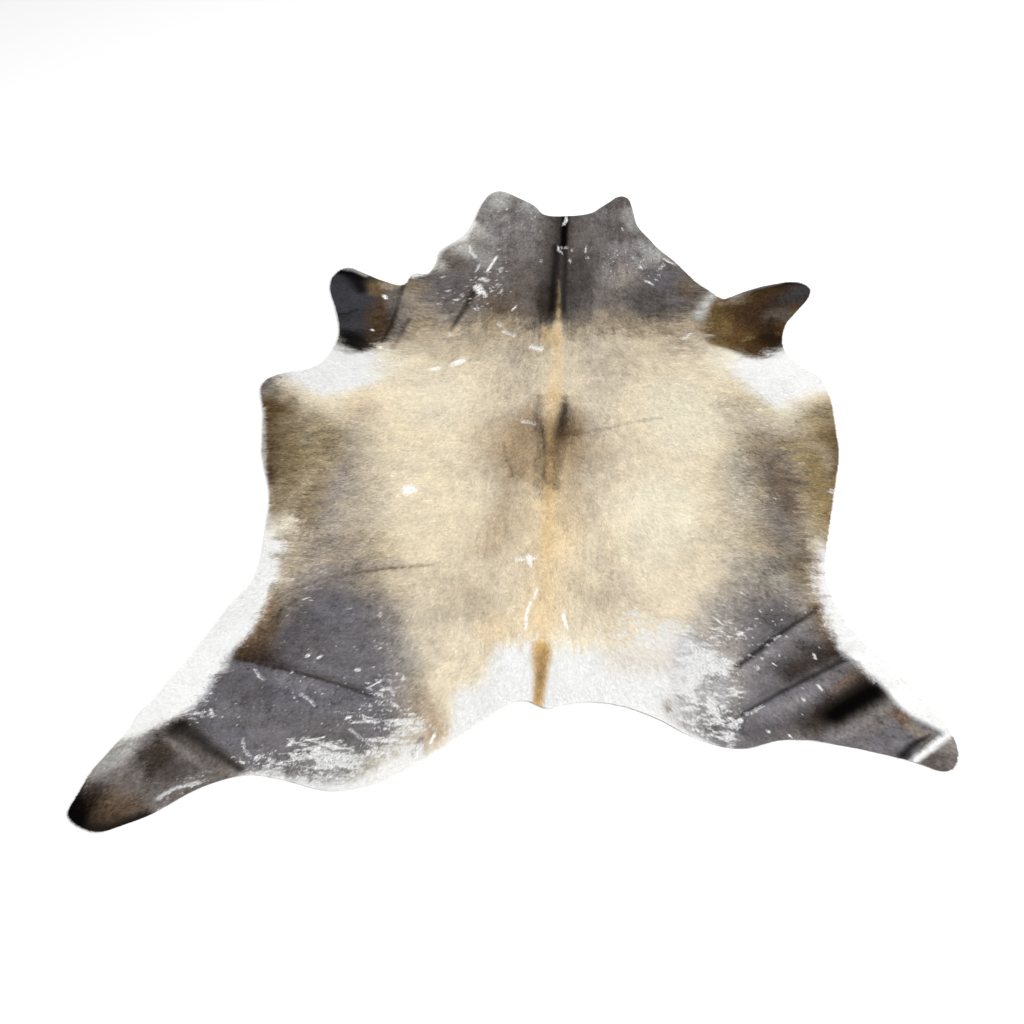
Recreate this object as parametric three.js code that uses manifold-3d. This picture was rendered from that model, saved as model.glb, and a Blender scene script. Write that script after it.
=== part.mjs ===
// A cowhide rug: one tanned hide with its hair on, lying flat, cut along its natural outline.
// Millimetres, +Z up. +Y runs along the spine from the tail to the neck, and +X to the hide's right.
// The origin is under the middle of the outline's box, on the surface that the hide lies on.
import * as THREE from 'three';
import { mergeVertices } from 'three/addons/utils/BufferGeometryUtils.js';
import Module from 'manifold-3d';

// Driving dimensions of the sheet
const SKIN_THICKNESS = 2.5;
const FLAT_HAIR_THICKNESS = 2.5;
const SHEET_THICKNESS = SKIN_THICKNESS + FLAT_HAIR_THICKNESS;
const EDGE_POINTS = 440;
const ARC_SAMPLES_PER_EDGE_POINT = 10;
const COAT_COLOUR = 0xb6a58a;
const COAT_ROUGHNESS = 0.75;

// The tables below give the outline from the spine, as [across, along] or as one of the two.
// Across is counted outwards on either side, and along runs from the middle of the hide to the neck.

// The two flaps at the neck, from their roots to their outer corners.
const NECK_FLAPS = [
  { spot: 'root', left: [75, 1159], right: [91, 1174] },
  { spot: 'inner edge, low', left: [105, 1207], right: [115, 1203] },
  { spot: 'inner edge, high', left: [159, 1255], right: [142, 1237] },
  { spot: 'crown', left: [231, 1302], right: [187, 1290] },
  { spot: 'outer corner', left: [261, 1284], right: [212, 1278] },
];

// Sections across the neck, from the flaps down to the fore legs.
const NECK_SECTIONS = [
  { along: 1213, left: 287, right: 227 },
  { along: 1110, left: 304, right: 243 },
  { along: 1025, left: 331, right: 286 },
  { along: 980, left: 363, right: 309 },
  { along: 930, left: 405, right: 344 },
  { along: 845, left: 414, right: 397 },
  { along: 792, left: 438, right: 427 },
];

// The fore legs, from the notch beside the neck round the toe to the armpit.
const FORE_LEGS = [
  { spot: 'tuft above the notch', left: [477, 796], right: [476, 737] },
  { spot: 'notch', left: [503, 724], right: [508, 703] },
  { spot: 'front edge, inner', left: [569, 745], right: [550, 727] },
  { spot: 'front edge, outer', left: [635, 780], right: [632, 777] },
  { spot: 'toe, front', left: [694, 807], right: [747, 813] },
  { spot: 'toe', left: [726, 780], right: [788, 783] },
  { spot: 'toe, back', left: [737, 703], right: [780, 734] },
  { spot: 'back edge, outer', left: [701, 588], right: [732, 650] },
  { spot: 'back edge, inner', left: [674, 487], right: [691, 574] },
  { spot: 'armpit', left: [670, 423], right: [679, 464] },
];

// Sections across the shoulders, flanks and thighs, from the armpits down.
const FLANK_SECTIONS = [
  { along: 385, left: 677, right: 719 },
  { along: 340, left: 693, right: 769 },
  { along: 300, left: 724, right: 783 },
  { along: 270, left: 797, right: 788 },
  { along: 240, left: 847, right: 793 },
  { along: 195, left: 862, right: 795 },
  { along: 100, left: 838, right: 794 },
  { along: 0, left: 820, right: 792 },
  { along: -90, left: 805, right: 775 },
  { along: -245, left: 757, right: 743 },
  { along: -360, left: 744, right: 720 },
  { along: -475, left: 735, right: 707 },
  { along: -560, left: 743, right: 723 },
  { along: -645, left: 784, right: 757 },
  { along: -740, left: 815, right: 822 },
  { along: -815, left: 843, right: 874 },
  { along: -890, left: 878, right: 925 },
];

// The hind feet, down the outer edge and round the toe to the hem. The left leg is the longer one.
const HIND_FEET = [
  { spot: 'above the hock', left: [909, -960], right: [939, -925] },
  { spot: 'hock', left: [929, -989], right: [946, -950] },
  { spot: 'below the hock', left: [933, -1018], right: [949, -975] },
  { spot: 'shank, high', left: [961, -1076], right: [947, -1000] },
  { spot: 'shank, low', left: [992, -1146], right: [940, -1020] },
  { spot: 'toe, outer side', left: [1008, -1210], right: [931, -1035] },
  { spot: 'toe, corner', left: [1015, -1262], right: [918, -1043] },
  { spot: 'toe', left: [973, -1294], right: [903, -1045] },
  { spot: 'toe, inner side', left: [934, -1302], right: [882, -1036] },
  { spot: 'inner edge', left: [899, -1285], right: [854, -1024] },
];

// The hem between the hind legs: how far along the edge lies, from the feet in to the tail.
const HEM_SECTIONS = [
  { across: 837, left: -1251, right: -1019 },
  { across: 772, left: -1199, right: -1002 },
  { across: 713, left: -1162, right: -989 },
  { across: 639, left: -1138, right: -978 },
  { across: 555, left: -1148, right: -978 },
  { across: 452, left: -1170, right: -1007 },
  { across: 360, left: -1146, right: -984 },
  { across: 275, left: -1093, right: -935 },
  { across: 190, left: -1017, right: -902 },
  { across: 115, left: -949, right: -895 },
  { across: 52, left: -901, right: -908 },
];

// The stump of the tail and the middle of the neck, on the spine itself, as [across, along] with the
// hide's right positive.
const TAIL_NOTCH = [-24, -901];
const TAIL_TIP = [19, -923];
const NECK_MIDDLE = [-7, 1153];

// The main folds, as [across, along] with the hide's right positive. Seen from one end to the other, a
// fold falls steeply on its left side and gently on its right.
const FOLDS = [
  { name: 'left thigh', from: [-765, -800], to: [-385, -925], height: 11, steep: 34, gentle: 75 },
  { name: 'left hock', from: [-660, -1130], to: [-845, -990], height: 12, steep: 42, gentle: 60 },
  { name: 'right flank', from: [460, -775], to: [700, -550], height: 9, steep: 26, gentle: 55 },
  { name: 'right thigh', from: [435, -935], to: [795, -680], height: 12, steep: 36, gentle: 70 },
  { name: 'right shank', from: [600, -975], to: [865, -800], height: 12, steep: 50, gentle: 60 },
  { name: 'left fore leg', from: [-540, 385], to: [-492, 735], height: 9, steep: 30, gentle: 50 },
  { name: 'left neck', from: [-355, 470], to: [-262, 750], height: 6, steep: 40, gentle: 50 },
];
const FOLD_STEPS = 10;
const FOLD_RIBS = 8;
const FOLD_END_FADE = 0.8;
const FOLD_FOOT_SINK = 0.4;
const FOLD_ROOT_DEPTH = 2;
const TRIM_HEIGHT = 200;

const wasm = await Module();
wasm.setup();

function solidFrom(geometry) {
  geometry.deleteAttribute('normal');
  geometry.deleteAttribute('uv');
  const welded = mergeVertices(geometry);
  const vertProperties = new Float32Array(welded.attributes.position.array);
  const triVerts = new Uint32Array(welded.index.array);
  return new wasm.Manifold(new wasm.Mesh({ numProp: 3, vertProperties, triVerts }));
}

function geometryFrom(solid) {
  const { vertProperties, triVerts } = solid.getMesh();
  const geometry = new THREE.BufferGeometry();
  geometry.setAttribute('position', new THREE.BufferAttribute(vertProperties, 3));
  geometry.setIndex(new THREE.BufferAttribute(triVerts, 1));
  geometry.computeVertexNormals();
  return geometry;
}

// One side's edge, from the neck flap down to the tail.
function sideEdge(side) {
  const outward = side === 'left' ? -1 : 1;
  const spots = [
    ...NECK_FLAPS.map((row) => row[side]),
    ...NECK_SECTIONS.map((row) => [row[side], row.along]),
    ...FORE_LEGS.map((row) => row[side]),
    ...FLANK_SECTIONS.map((row) => [row[side], row.along]),
    ...HIND_FEET.map((row) => row[side]),
    ...HEM_SECTIONS.map((row) => [row.across, row[side]]),
  ];
  return spots.map(([across, along]) => [outward * across, along]);
}

// The whole outline as one smooth closed curve, in points at an even spacing.
function outlinePoints() {
  const spots = [
    NECK_MIDDLE,
    ...sideEdge('left'),
    TAIL_NOTCH,
    TAIL_TIP,
    ...sideEdge('right').reverse(),
  ];
  const knots = spots.map(([across, along]) => new THREE.Vector3(across, along, 0));
  const curve = new THREE.CatmullRomCurve3(knots, true, 'centripetal');
  curve.arcLengthDivisions = EDGE_POINTS * ARC_SAMPLES_PER_EDGE_POINT;
  const points = curve.getSpacedPoints(EDGE_POINTS);
  points.pop();
  return points.map((point) => new THREE.Vector2(point.x, point.y));
}

function slabOf(points, depth) {
  const shape = new THREE.Shape(points);
  return new THREE.ExtrudeGeometry(shape, { depth, bevelEnabled: false });
}

const bell = (offset) => 0.5 * (1 + Math.cos(Math.PI * offset));

// One fold as a low closed ridge that dies out at both ends. It rises from the height `foot`, and its
// skirt and root lie a little under that height, so that it meets the sheet cleanly.
function foldRidge(fold, foot) {
  const start = new THREE.Vector2(...fold.from);
  const run = new THREE.Vector2(...fold.to).sub(start);
  const leftward = new THREE.Vector2(-run.y, run.x).normalize();
  const ridge = new THREE.BoxGeometry(1, 2, 1, FOLD_STEPS, FOLD_RIBS, 1);
  const position = ridge.attributes.position;
  for (let i = 0; i < position.count; i += 1) {
    const along = position.getX(i) + 0.5;
    const across = position.getY(i);
    const reach = across > 0 ? fold.steep : fold.gentle;
    const rise = fold.height * Math.sin(Math.PI * along) ** FOLD_END_FADE * bell(across);
    const place = start.clone().addScaledVector(run, along).addScaledVector(leftward, across * reach);
    const height = position.getZ(i) > 0 ? rise - FOLD_FOOT_SINK : -FOLD_ROOT_DEPTH;
    position.setXYZ(i, place.x, place.y, foot + height);
  }
  return ridge;
}

// The flat sheet, raised along each fold and hollow under it, so that it is as thick there as anywhere.
function creasedSheet() {
  const points = outlinePoints();
  const trim = solidFrom(slabOf(points, TRIM_HEIGHT).translate(0, 0, -TRIM_HEIGHT / 2));
  let sheet = solidFrom(slabOf(points, SHEET_THICKNESS));
  for (const fold of FOLDS) {
    const ridge = solidFrom(foldRidge(fold, SHEET_THICKNESS)).intersect(trim);
    const hollow = solidFrom(foldRidge(fold, 0));
    sheet = sheet.add(ridge).subtract(hollow);
  }
  const geometry = geometryFrom(sheet);
  geometry.computeBoundingBox();
  const middle = geometry.boundingBox.getCenter(new THREE.Vector3());
  return geometry.translate(-middle.x, -middle.y, 0);
}

const coat = new THREE.MeshStandardMaterial({
  color: COAT_COLOUR,
  roughness: COAT_ROUGHNESS,
  metalness: 0,
});

const rug = new THREE.Group();
const hide = new THREE.Mesh(creasedSheet(), coat);
hide.name = 'hide';
rug.add(hide);

export default rug;
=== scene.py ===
import math

import bpy
import numpy as np
from bpy.props import FloatProperty, FloatVectorProperty, IntProperty, PointerProperty
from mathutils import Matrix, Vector
from mathutils.geometry import delaunay_2d_cdt
from mathutils.kdtree import KDTree


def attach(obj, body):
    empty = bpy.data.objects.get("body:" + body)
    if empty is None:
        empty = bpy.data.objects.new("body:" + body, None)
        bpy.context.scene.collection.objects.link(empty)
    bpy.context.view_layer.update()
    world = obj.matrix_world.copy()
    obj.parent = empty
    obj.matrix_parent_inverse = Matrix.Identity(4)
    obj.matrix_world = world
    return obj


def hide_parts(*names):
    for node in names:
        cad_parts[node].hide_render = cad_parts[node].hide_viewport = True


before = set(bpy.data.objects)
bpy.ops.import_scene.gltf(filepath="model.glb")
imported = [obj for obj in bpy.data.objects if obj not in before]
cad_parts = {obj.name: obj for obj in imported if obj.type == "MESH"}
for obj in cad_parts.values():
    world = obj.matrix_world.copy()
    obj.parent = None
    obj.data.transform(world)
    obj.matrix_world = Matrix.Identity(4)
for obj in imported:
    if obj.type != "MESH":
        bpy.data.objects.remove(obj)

bl_info = {
    "name": "Cowhide Rug",
    "version": (1, 0, 0),
    "blender": (4, 5, 0),
    "location": "View3D > Sidebar > Hide",
    "description": "Lays a cowhide rug over its solid, grows its coat and sets a studio for it",
    "category": "Object",
}

# Lengths are in metres. X runs to the hide's right, Y along the spine from the tail to the neck.
COAT_PIECES = ("coat_neck", "coat_shoulders", "coat_loin", "coat_hind")
TINY = 1e-6

# The sheet's plan
UPWARD = 0.3
RIM_GAP = 0.04
OUTLINE_STEP = 0.022
CURVE_PARTS = 4
EDGE_STEP = 0.7
GRID_MARGIN = 0.6
MEAN_CUT = 0.8
INSIDE_ONLY = 1
SHARP_ANGLE = math.radians(50)

# The sheet's height
FOLD_END_FADE = 0.8
LOOSE_REACH = 0.30
HELD_WAVE = 0.35
MEAN_WAVE = 0.6
SMALL_WAVE = 0.5
CURL_REACH = 0.09
MEAN_CURL = 0.35

# The locks of hair, as shares of their settings where they aren't lengths or angles
FLOOR_CLEARANCE = 0.0003
LEG_DENSITY = 0.7
LEG_SHORTENING = 0.45
SWIRL = 0.30
TUFT_SWIRL = 0.14
LEAN_SPREAD = (0.4, 1.7)
LENGTH_SPREAD = (0.6, 1.25)
WIDTH_SPREAD = (0.7, 1.3)
ROLL = 0.16
EDGE_LENGTH = 0.006
EDGE_ROOM = 0.8
MAP_SPAN = (0.01, 0.99)

# How far a lock strays from its place before it takes its colour from the marks
BROAD_WARP = 0.012
FINE_WARP = 0.006
SCATTER = 0.002
STRAND_DRIFT = 2.2
CRISP_WARP = 0.2
CRISP_DRIFT = 0.08

# The tone of the locks: clouds, tufts, warmth and the painted shade at the roots
SMALL_CLOUD = 1.5
CLOUD_DRIFT = 0.6
BROAD_CLOUD = 1.2
STRAND_CLOUD = 1.3
LOCK_TONE = 1.1
TUFT_TONE = 0.9
TONE_LIMITS = (0.35, 1.9)
BROAD_WARMTH = 0.6
SMALL_WARMTH = 0.4
WARM_GAIN = 12
WARM_START = 0.24
WARM_RED = 0.03
WARM_BLUE = 0.08
# Painted shade at the roots: how much the locks and the skin under them darken, and how the grain sets it
HAIR_DEPTH = 0.1
GROUND_DEPTH = 0.15
DEEP_GRAIN = 0.06
LEAST_DEPTH = 0.2

# White hairs
FROST_STREAK_DRIFT = 0.15
FROST_DRIFT_SHARE = 0.6
FROST_SCATTER = 0.2
SPECK_DRIFT = 0.1
SPECK_SHARE = 1.25
WHITE_SPREAD = (0.92, 1.0)
SCAR_START = 0.2
SCAR_SPAN = 0.35

# The columns of a look: a colour, its grain, and the shares of three kinds of white hair.
GRAIN_COLUMN, FROST, SPECKLE, SCAR = 3, 4, 5, 6
WHITE_HAIRS = {"frost": FROST, "speckle": SPECKLE, "scar": SCAR}

# The marks' edges: an area with a sharper edge than this strays less, a pool ends at this share of its
# reach, and a fleck fades over this share of its half width.
SHARP_EDGE = 0.012
POOL_END = 1.5
FLECK_EDGE = 0.5

# The noises that make the rug uneven: the size of their features, how much the plane is squeezed across and
# along, and the seed.
EVEN = (1.0, 1.0)
NOISES = {
    "broad wave": (0.16, EVEN, 3),
    "small wave": (0.07, EVEN, 4),
    "edge curl": (0.22, EVEN, 5),
    "cut": (0.035, EVEN, 11),
    "swirl": (0.05, EVEN, 21),
    "broad warp across": (0.09, EVEN, 31),
    "broad warp along": (0.09, EVEN, 32),
    "fine warp across": (0.028, EVEN, 33),
    "fine warp along": (0.028, EVEN, 34),
    "frost streaks": (0.005, (0.35, 1.0), 41),
    "frost drifts": (0.018, (0.22, 1.0), 42),
    "small clouds": (0.025, EVEN, 43),
    "broad clouds": (0.09, (0.6, 1.0), 44),
    "specks": (0.0075, EVEN, 45),
    "broad warmth": (0.13, EVEN, 46),
    "small warmth": (0.04, EVEN, 47),
    "upright strands": (0.009, (1.0, 0.22), 51),
    "level strands": (0.009, (0.22, 1.0), 52),
}

# The surfaces
FUR_GLOSS = 0.03
SUEDE_SHADE = 0.78
MOTTLE_STOPS = (0.3, 0.7)

# The studio
FLOOR_REACH = 20
SENSOR_WIDTH = 36
LIGHT_TARGET = (0, -0.1, 0)
# The lights: the setting with the power, the place and the size.
LIGHTS = [
    ("key", (4.6, -3.6, 4.6), 2.6),
    ("top", (0.0, 0.6, 5.0), 6.0),
]

# The folds of the solid: crest from one end to the other, height, and the reach of the steep side (left of
# the run) and of the gentle side.
FOLDS = [
    ("left thigh", (-0.732, -0.800), (-0.352, -0.925), 0.011, 0.034, 0.075),
    ("left hock", (-0.627, -1.130), (-0.812, -0.990), 0.012, 0.042, 0.060),
    ("right flank", (0.493, -0.775), (0.733, -0.550), 0.009, 0.026, 0.055),
    ("right thigh", (0.468, -0.935), (0.828, -0.680), 0.012, 0.036, 0.070),
    ("right shank", (0.633, -0.975), (0.898, -0.800), 0.012, 0.050, 0.060),
    ("left fore leg", (-0.507, 0.385), (-0.459, 0.735), 0.009, 0.030, 0.050),
    ("left neck", (-0.322, 0.470), (-0.229, 0.750), 0.006, 0.040, 0.050),
]
# Finer creases of the skin, in the same columns. A height below zero is a trough.
CREASES = [
    ("across the back", (0.03, 0.015), (0.36, 0.135), -0.0016, 0.008, 0.022),
    ("behind the right neck", (0.45, 0.655), (0.27, 0.595), 0.003, 0.012, 0.040),
    ("above the left thigh", (-0.60, -0.565), (-0.37, -0.495), -0.0022, 0.014, 0.030),
    ("left shank", (-0.665, -1.130), (-0.845, -1.005), 0.004, 0.012, 0.022),
    ("right shank, low", (0.775, -0.945), (0.885, -0.865), 0.004, 0.014, 0.030),
    ("right toe", (0.850, -1.020), (0.960, -0.920), 0.003, 0.012, 0.025),
    ("left fore toe", (-0.665, 0.550), (-0.600, 0.585), -0.0022, 0.012, 0.022),
    ("left loin", (-0.115, 0.020), (-0.070, -0.150), -0.0014, 0.006, 0.014),
    ("left shoulder", (-0.470, 0.300), (-0.330, 0.180), 0.0016, 0.030, 0.050),
    ("right shoulder", (0.330, 0.330), (0.520, 0.200), 0.0016, 0.030, 0.050),
    ("left flank", (-0.745, -0.020), (-0.520, -0.120), 0.0020, 0.030, 0.060),
    ("right flank, high", (0.530, -0.030), (0.790, 0.020), 0.0020, 0.030, 0.060),
]

# How the hair lies: a spot, and the heading there in degrees from +X towards +Y.
HAIR_LAY = [
    ("neck, spine", 0.03, 1.10, 270),
    ("withers", 0.03, 0.60, 270),
    ("back", 0.03, 0.10, 270),
    ("loin", 0.03, -0.40, 270),
    ("tail", 0.03, -0.80, 270),
    ("left flap", -0.20, 1.20, 250),
    ("right flap", 0.22, 1.20, 290),
    ("left neck", -0.25, 0.85, 235),
    ("right neck", 0.32, 0.85, 300),
    ("left shoulder", -0.35, 0.40, 225),
    ("right shoulder", 0.40, 0.40, 315),
    ("left fore leg, inner", -0.53, 0.52, 135),
    ("left fore toe", -0.66, 0.72, 118),
    ("right fore leg, inner", 0.58, 0.55, 50),
    ("right fore toe", 0.76, 0.72, 44),
    ("left flank, high", -0.60, 0.15, 200),
    ("right flank, high", 0.66, 0.15, 340),
    ("left flank", -0.62, -0.15, 198),
    ("right flank", 0.68, -0.15, 342),
    ("left belly", -0.55, -0.45, 212),
    ("right belly", 0.60, -0.45, 328),
    ("left back", -0.28, 0.00, 232),
    ("right back", 0.33, 0.00, 308),
    ("left rump", -0.25, -0.70, 235),
    ("right rump", 0.32, -0.70, 305),
    ("left thigh", -0.55, -0.80, 222),
    ("right thigh", 0.62, -0.75, 318),
    ("left hem", -0.42, -1.08, 238),
    ("right hem", 0.48, -0.93, 304),
    ("left shank", -0.82, -1.12, 226),
    ("right shank", 0.82, -0.90, 318),
]
LAY_REACH = 0.17

# Where the hair is shorter and denser: the middle and the reach of each leg.
SHORT_HAIR = [
    ("left hind leg", (-0.64, -0.98), (0.40, 0.32)),
    ("right hind leg", (0.68, -0.82), (0.36, 0.28)),
    ("left fore leg", (-0.58, 0.60), (0.16, 0.24)),
    ("right fore leg", (0.64, 0.62), (0.20, 0.22)),
]
SHORT_HAIR_END = 2.2
SHORT_HAIR_FALL = 2


def pool(name, tint, at, reach, strength=1.0, turn=0):
    """A soft round or oval pool of one tint in the coat. The turn is in degrees."""
    return {
        "kind": "pool", "name": name, "tint": tint, "at": at, "reach": reach,
        "strength": strength, "turn": turn,
    }


def area(name, tint, edge, corners, strength=1.0):
    """A field of one tint with its own outline, which fades over its edge's width."""
    return {"kind": "area", "name": name, "tint": tint, "edge": edge, "path": corners, "strength": strength}


def streak(name, tint, half_widths, path, strength=1.0, edge=1.0):
    """A band of one tint along a path, from one half width to another. The edge is a share of that."""
    return {
        "kind": "streak", "name": name, "tint": tint, "widths": half_widths, "path": path,
        "strength": strength, "edge": edge,
    }


# The coat's marks, in the order in which they cover each other.
BACK = [
    area("grey of the withers", "sand", 0.05, [
        (-0.185, 0.60), (-0.175, 0.38), (-0.150, 0.22), (-0.13, 0.10), (-0.08, -0.06), (0.02, -0.12),
        (0.13, -0.08), (0.17, 0.04), (0.20, 0.18), (0.24, 0.30), (0.36, 0.40), (0.50, 0.44),
        (0.54, 0.60)], 0.85),
    area("withers, left", "oat", 0.05, [
        (-0.50, 0.60), (-0.47, 0.40), (-0.36, 0.38), (-0.24, 0.34), (-0.15, 0.26), (-0.12, 0.60)], 0.85),
    pool("withers, cream by the spine", "cream", (0.085, 0.30), (0.035, 0.10), 0.6),
    pool("withers, grey spot", "fawn", (-0.08, 0.40), (0.05, 0.05), 0.4),
    pool("right withers", "oat", (0.28, 0.50), (0.09, 0.05), 0.35, turn=10),
    pool("saddle, outer", "sand", (0.03, -0.06), (0.22, 0.20), 0.85),
    pool("saddle", "tan", (-0.01, -0.02), (0.16, 0.14), 0.60),
    streak("saddle, left", "tan", (0.014, 0.046), [
        (-0.030, 0.20), (-0.052, 0.08), (-0.062, -0.02), (-0.056, -0.11)], 0.62),
    streak("saddle, right", "tan", (0.016, 0.034), [(0.084, 0.19), (0.095, 0.06), (0.082, -0.08)], 0.50),
    pool("saddle, low", "tan", (0.04, -0.15), (0.06, 0.05), 0.20),
    pool("right of the spine, high", "clay", (0.095, 0.085), (0.05, 0.07), 0.25, turn=20),
    pool("right back, ivory", "ivory", (0.33, -0.25), (0.11, 0.14), 0.85),
    pool("right back, dull side", "oat", (0.47, -0.27), (0.05, 0.10), 0.6),
    pool("right shoulder, ivory", "ivory", (0.40, 0.14), (0.11, 0.16), 0.8),
    pool("left back, ivory", "ivory", (-0.30, 0.18), (0.10, 0.12), 0.5),
    pool("loin, gold", "gold", (0.025, -0.40), (0.09, 0.28), 0.55),
    pool("loin, oat", "oat", (-0.10, -0.45), (0.12, 0.20), 0.7),
    pool("loin, tan", "tan", (-0.075, -0.31), (0.05, 0.11), 0.35, turn=-10),
    pool("loin, right tan", "tan", (0.11, -0.26), (0.06, 0.09), 0.30),
    pool("right loin, oat", "oat", (0.145, -0.52), (0.09, 0.10), 0.65),
    pool("right loin, ivory", "ivory", (0.29, -0.42), (0.07, 0.07), 0.55),
    pool("left loin, shade", "tan", (-0.17, -0.61), (0.07, 0.06), 0.35),
    pool("left rump, fawn", "oat", (-0.27, -0.58), (0.08, 0.12), 0.8),
    pool("left rump, sand", "sand", (-0.25, -0.74), (0.05, 0.10), 0.4),
    streak("left of the loin", "tan", (0.014, 0.034), [
        (-0.08, -0.12), (-0.098, -0.28), (-0.13, -0.42)], 0.35),
    pool("right loin, shade", "fawn", (0.215, -0.590), (0.09, 0.045), 0.35, turn=-5),
    pool("right loin, oat, high", "oat", (0.15, -0.39), (0.05, 0.06), 0.40),
    # Painted shade of a soft crease on the right loin.
    streak("right loin, crease", "fawn", (0.020, 0.035), [
        (0.18, -0.33), (0.185, -0.44), (0.20, -0.53)], 0.3),
]
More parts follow.
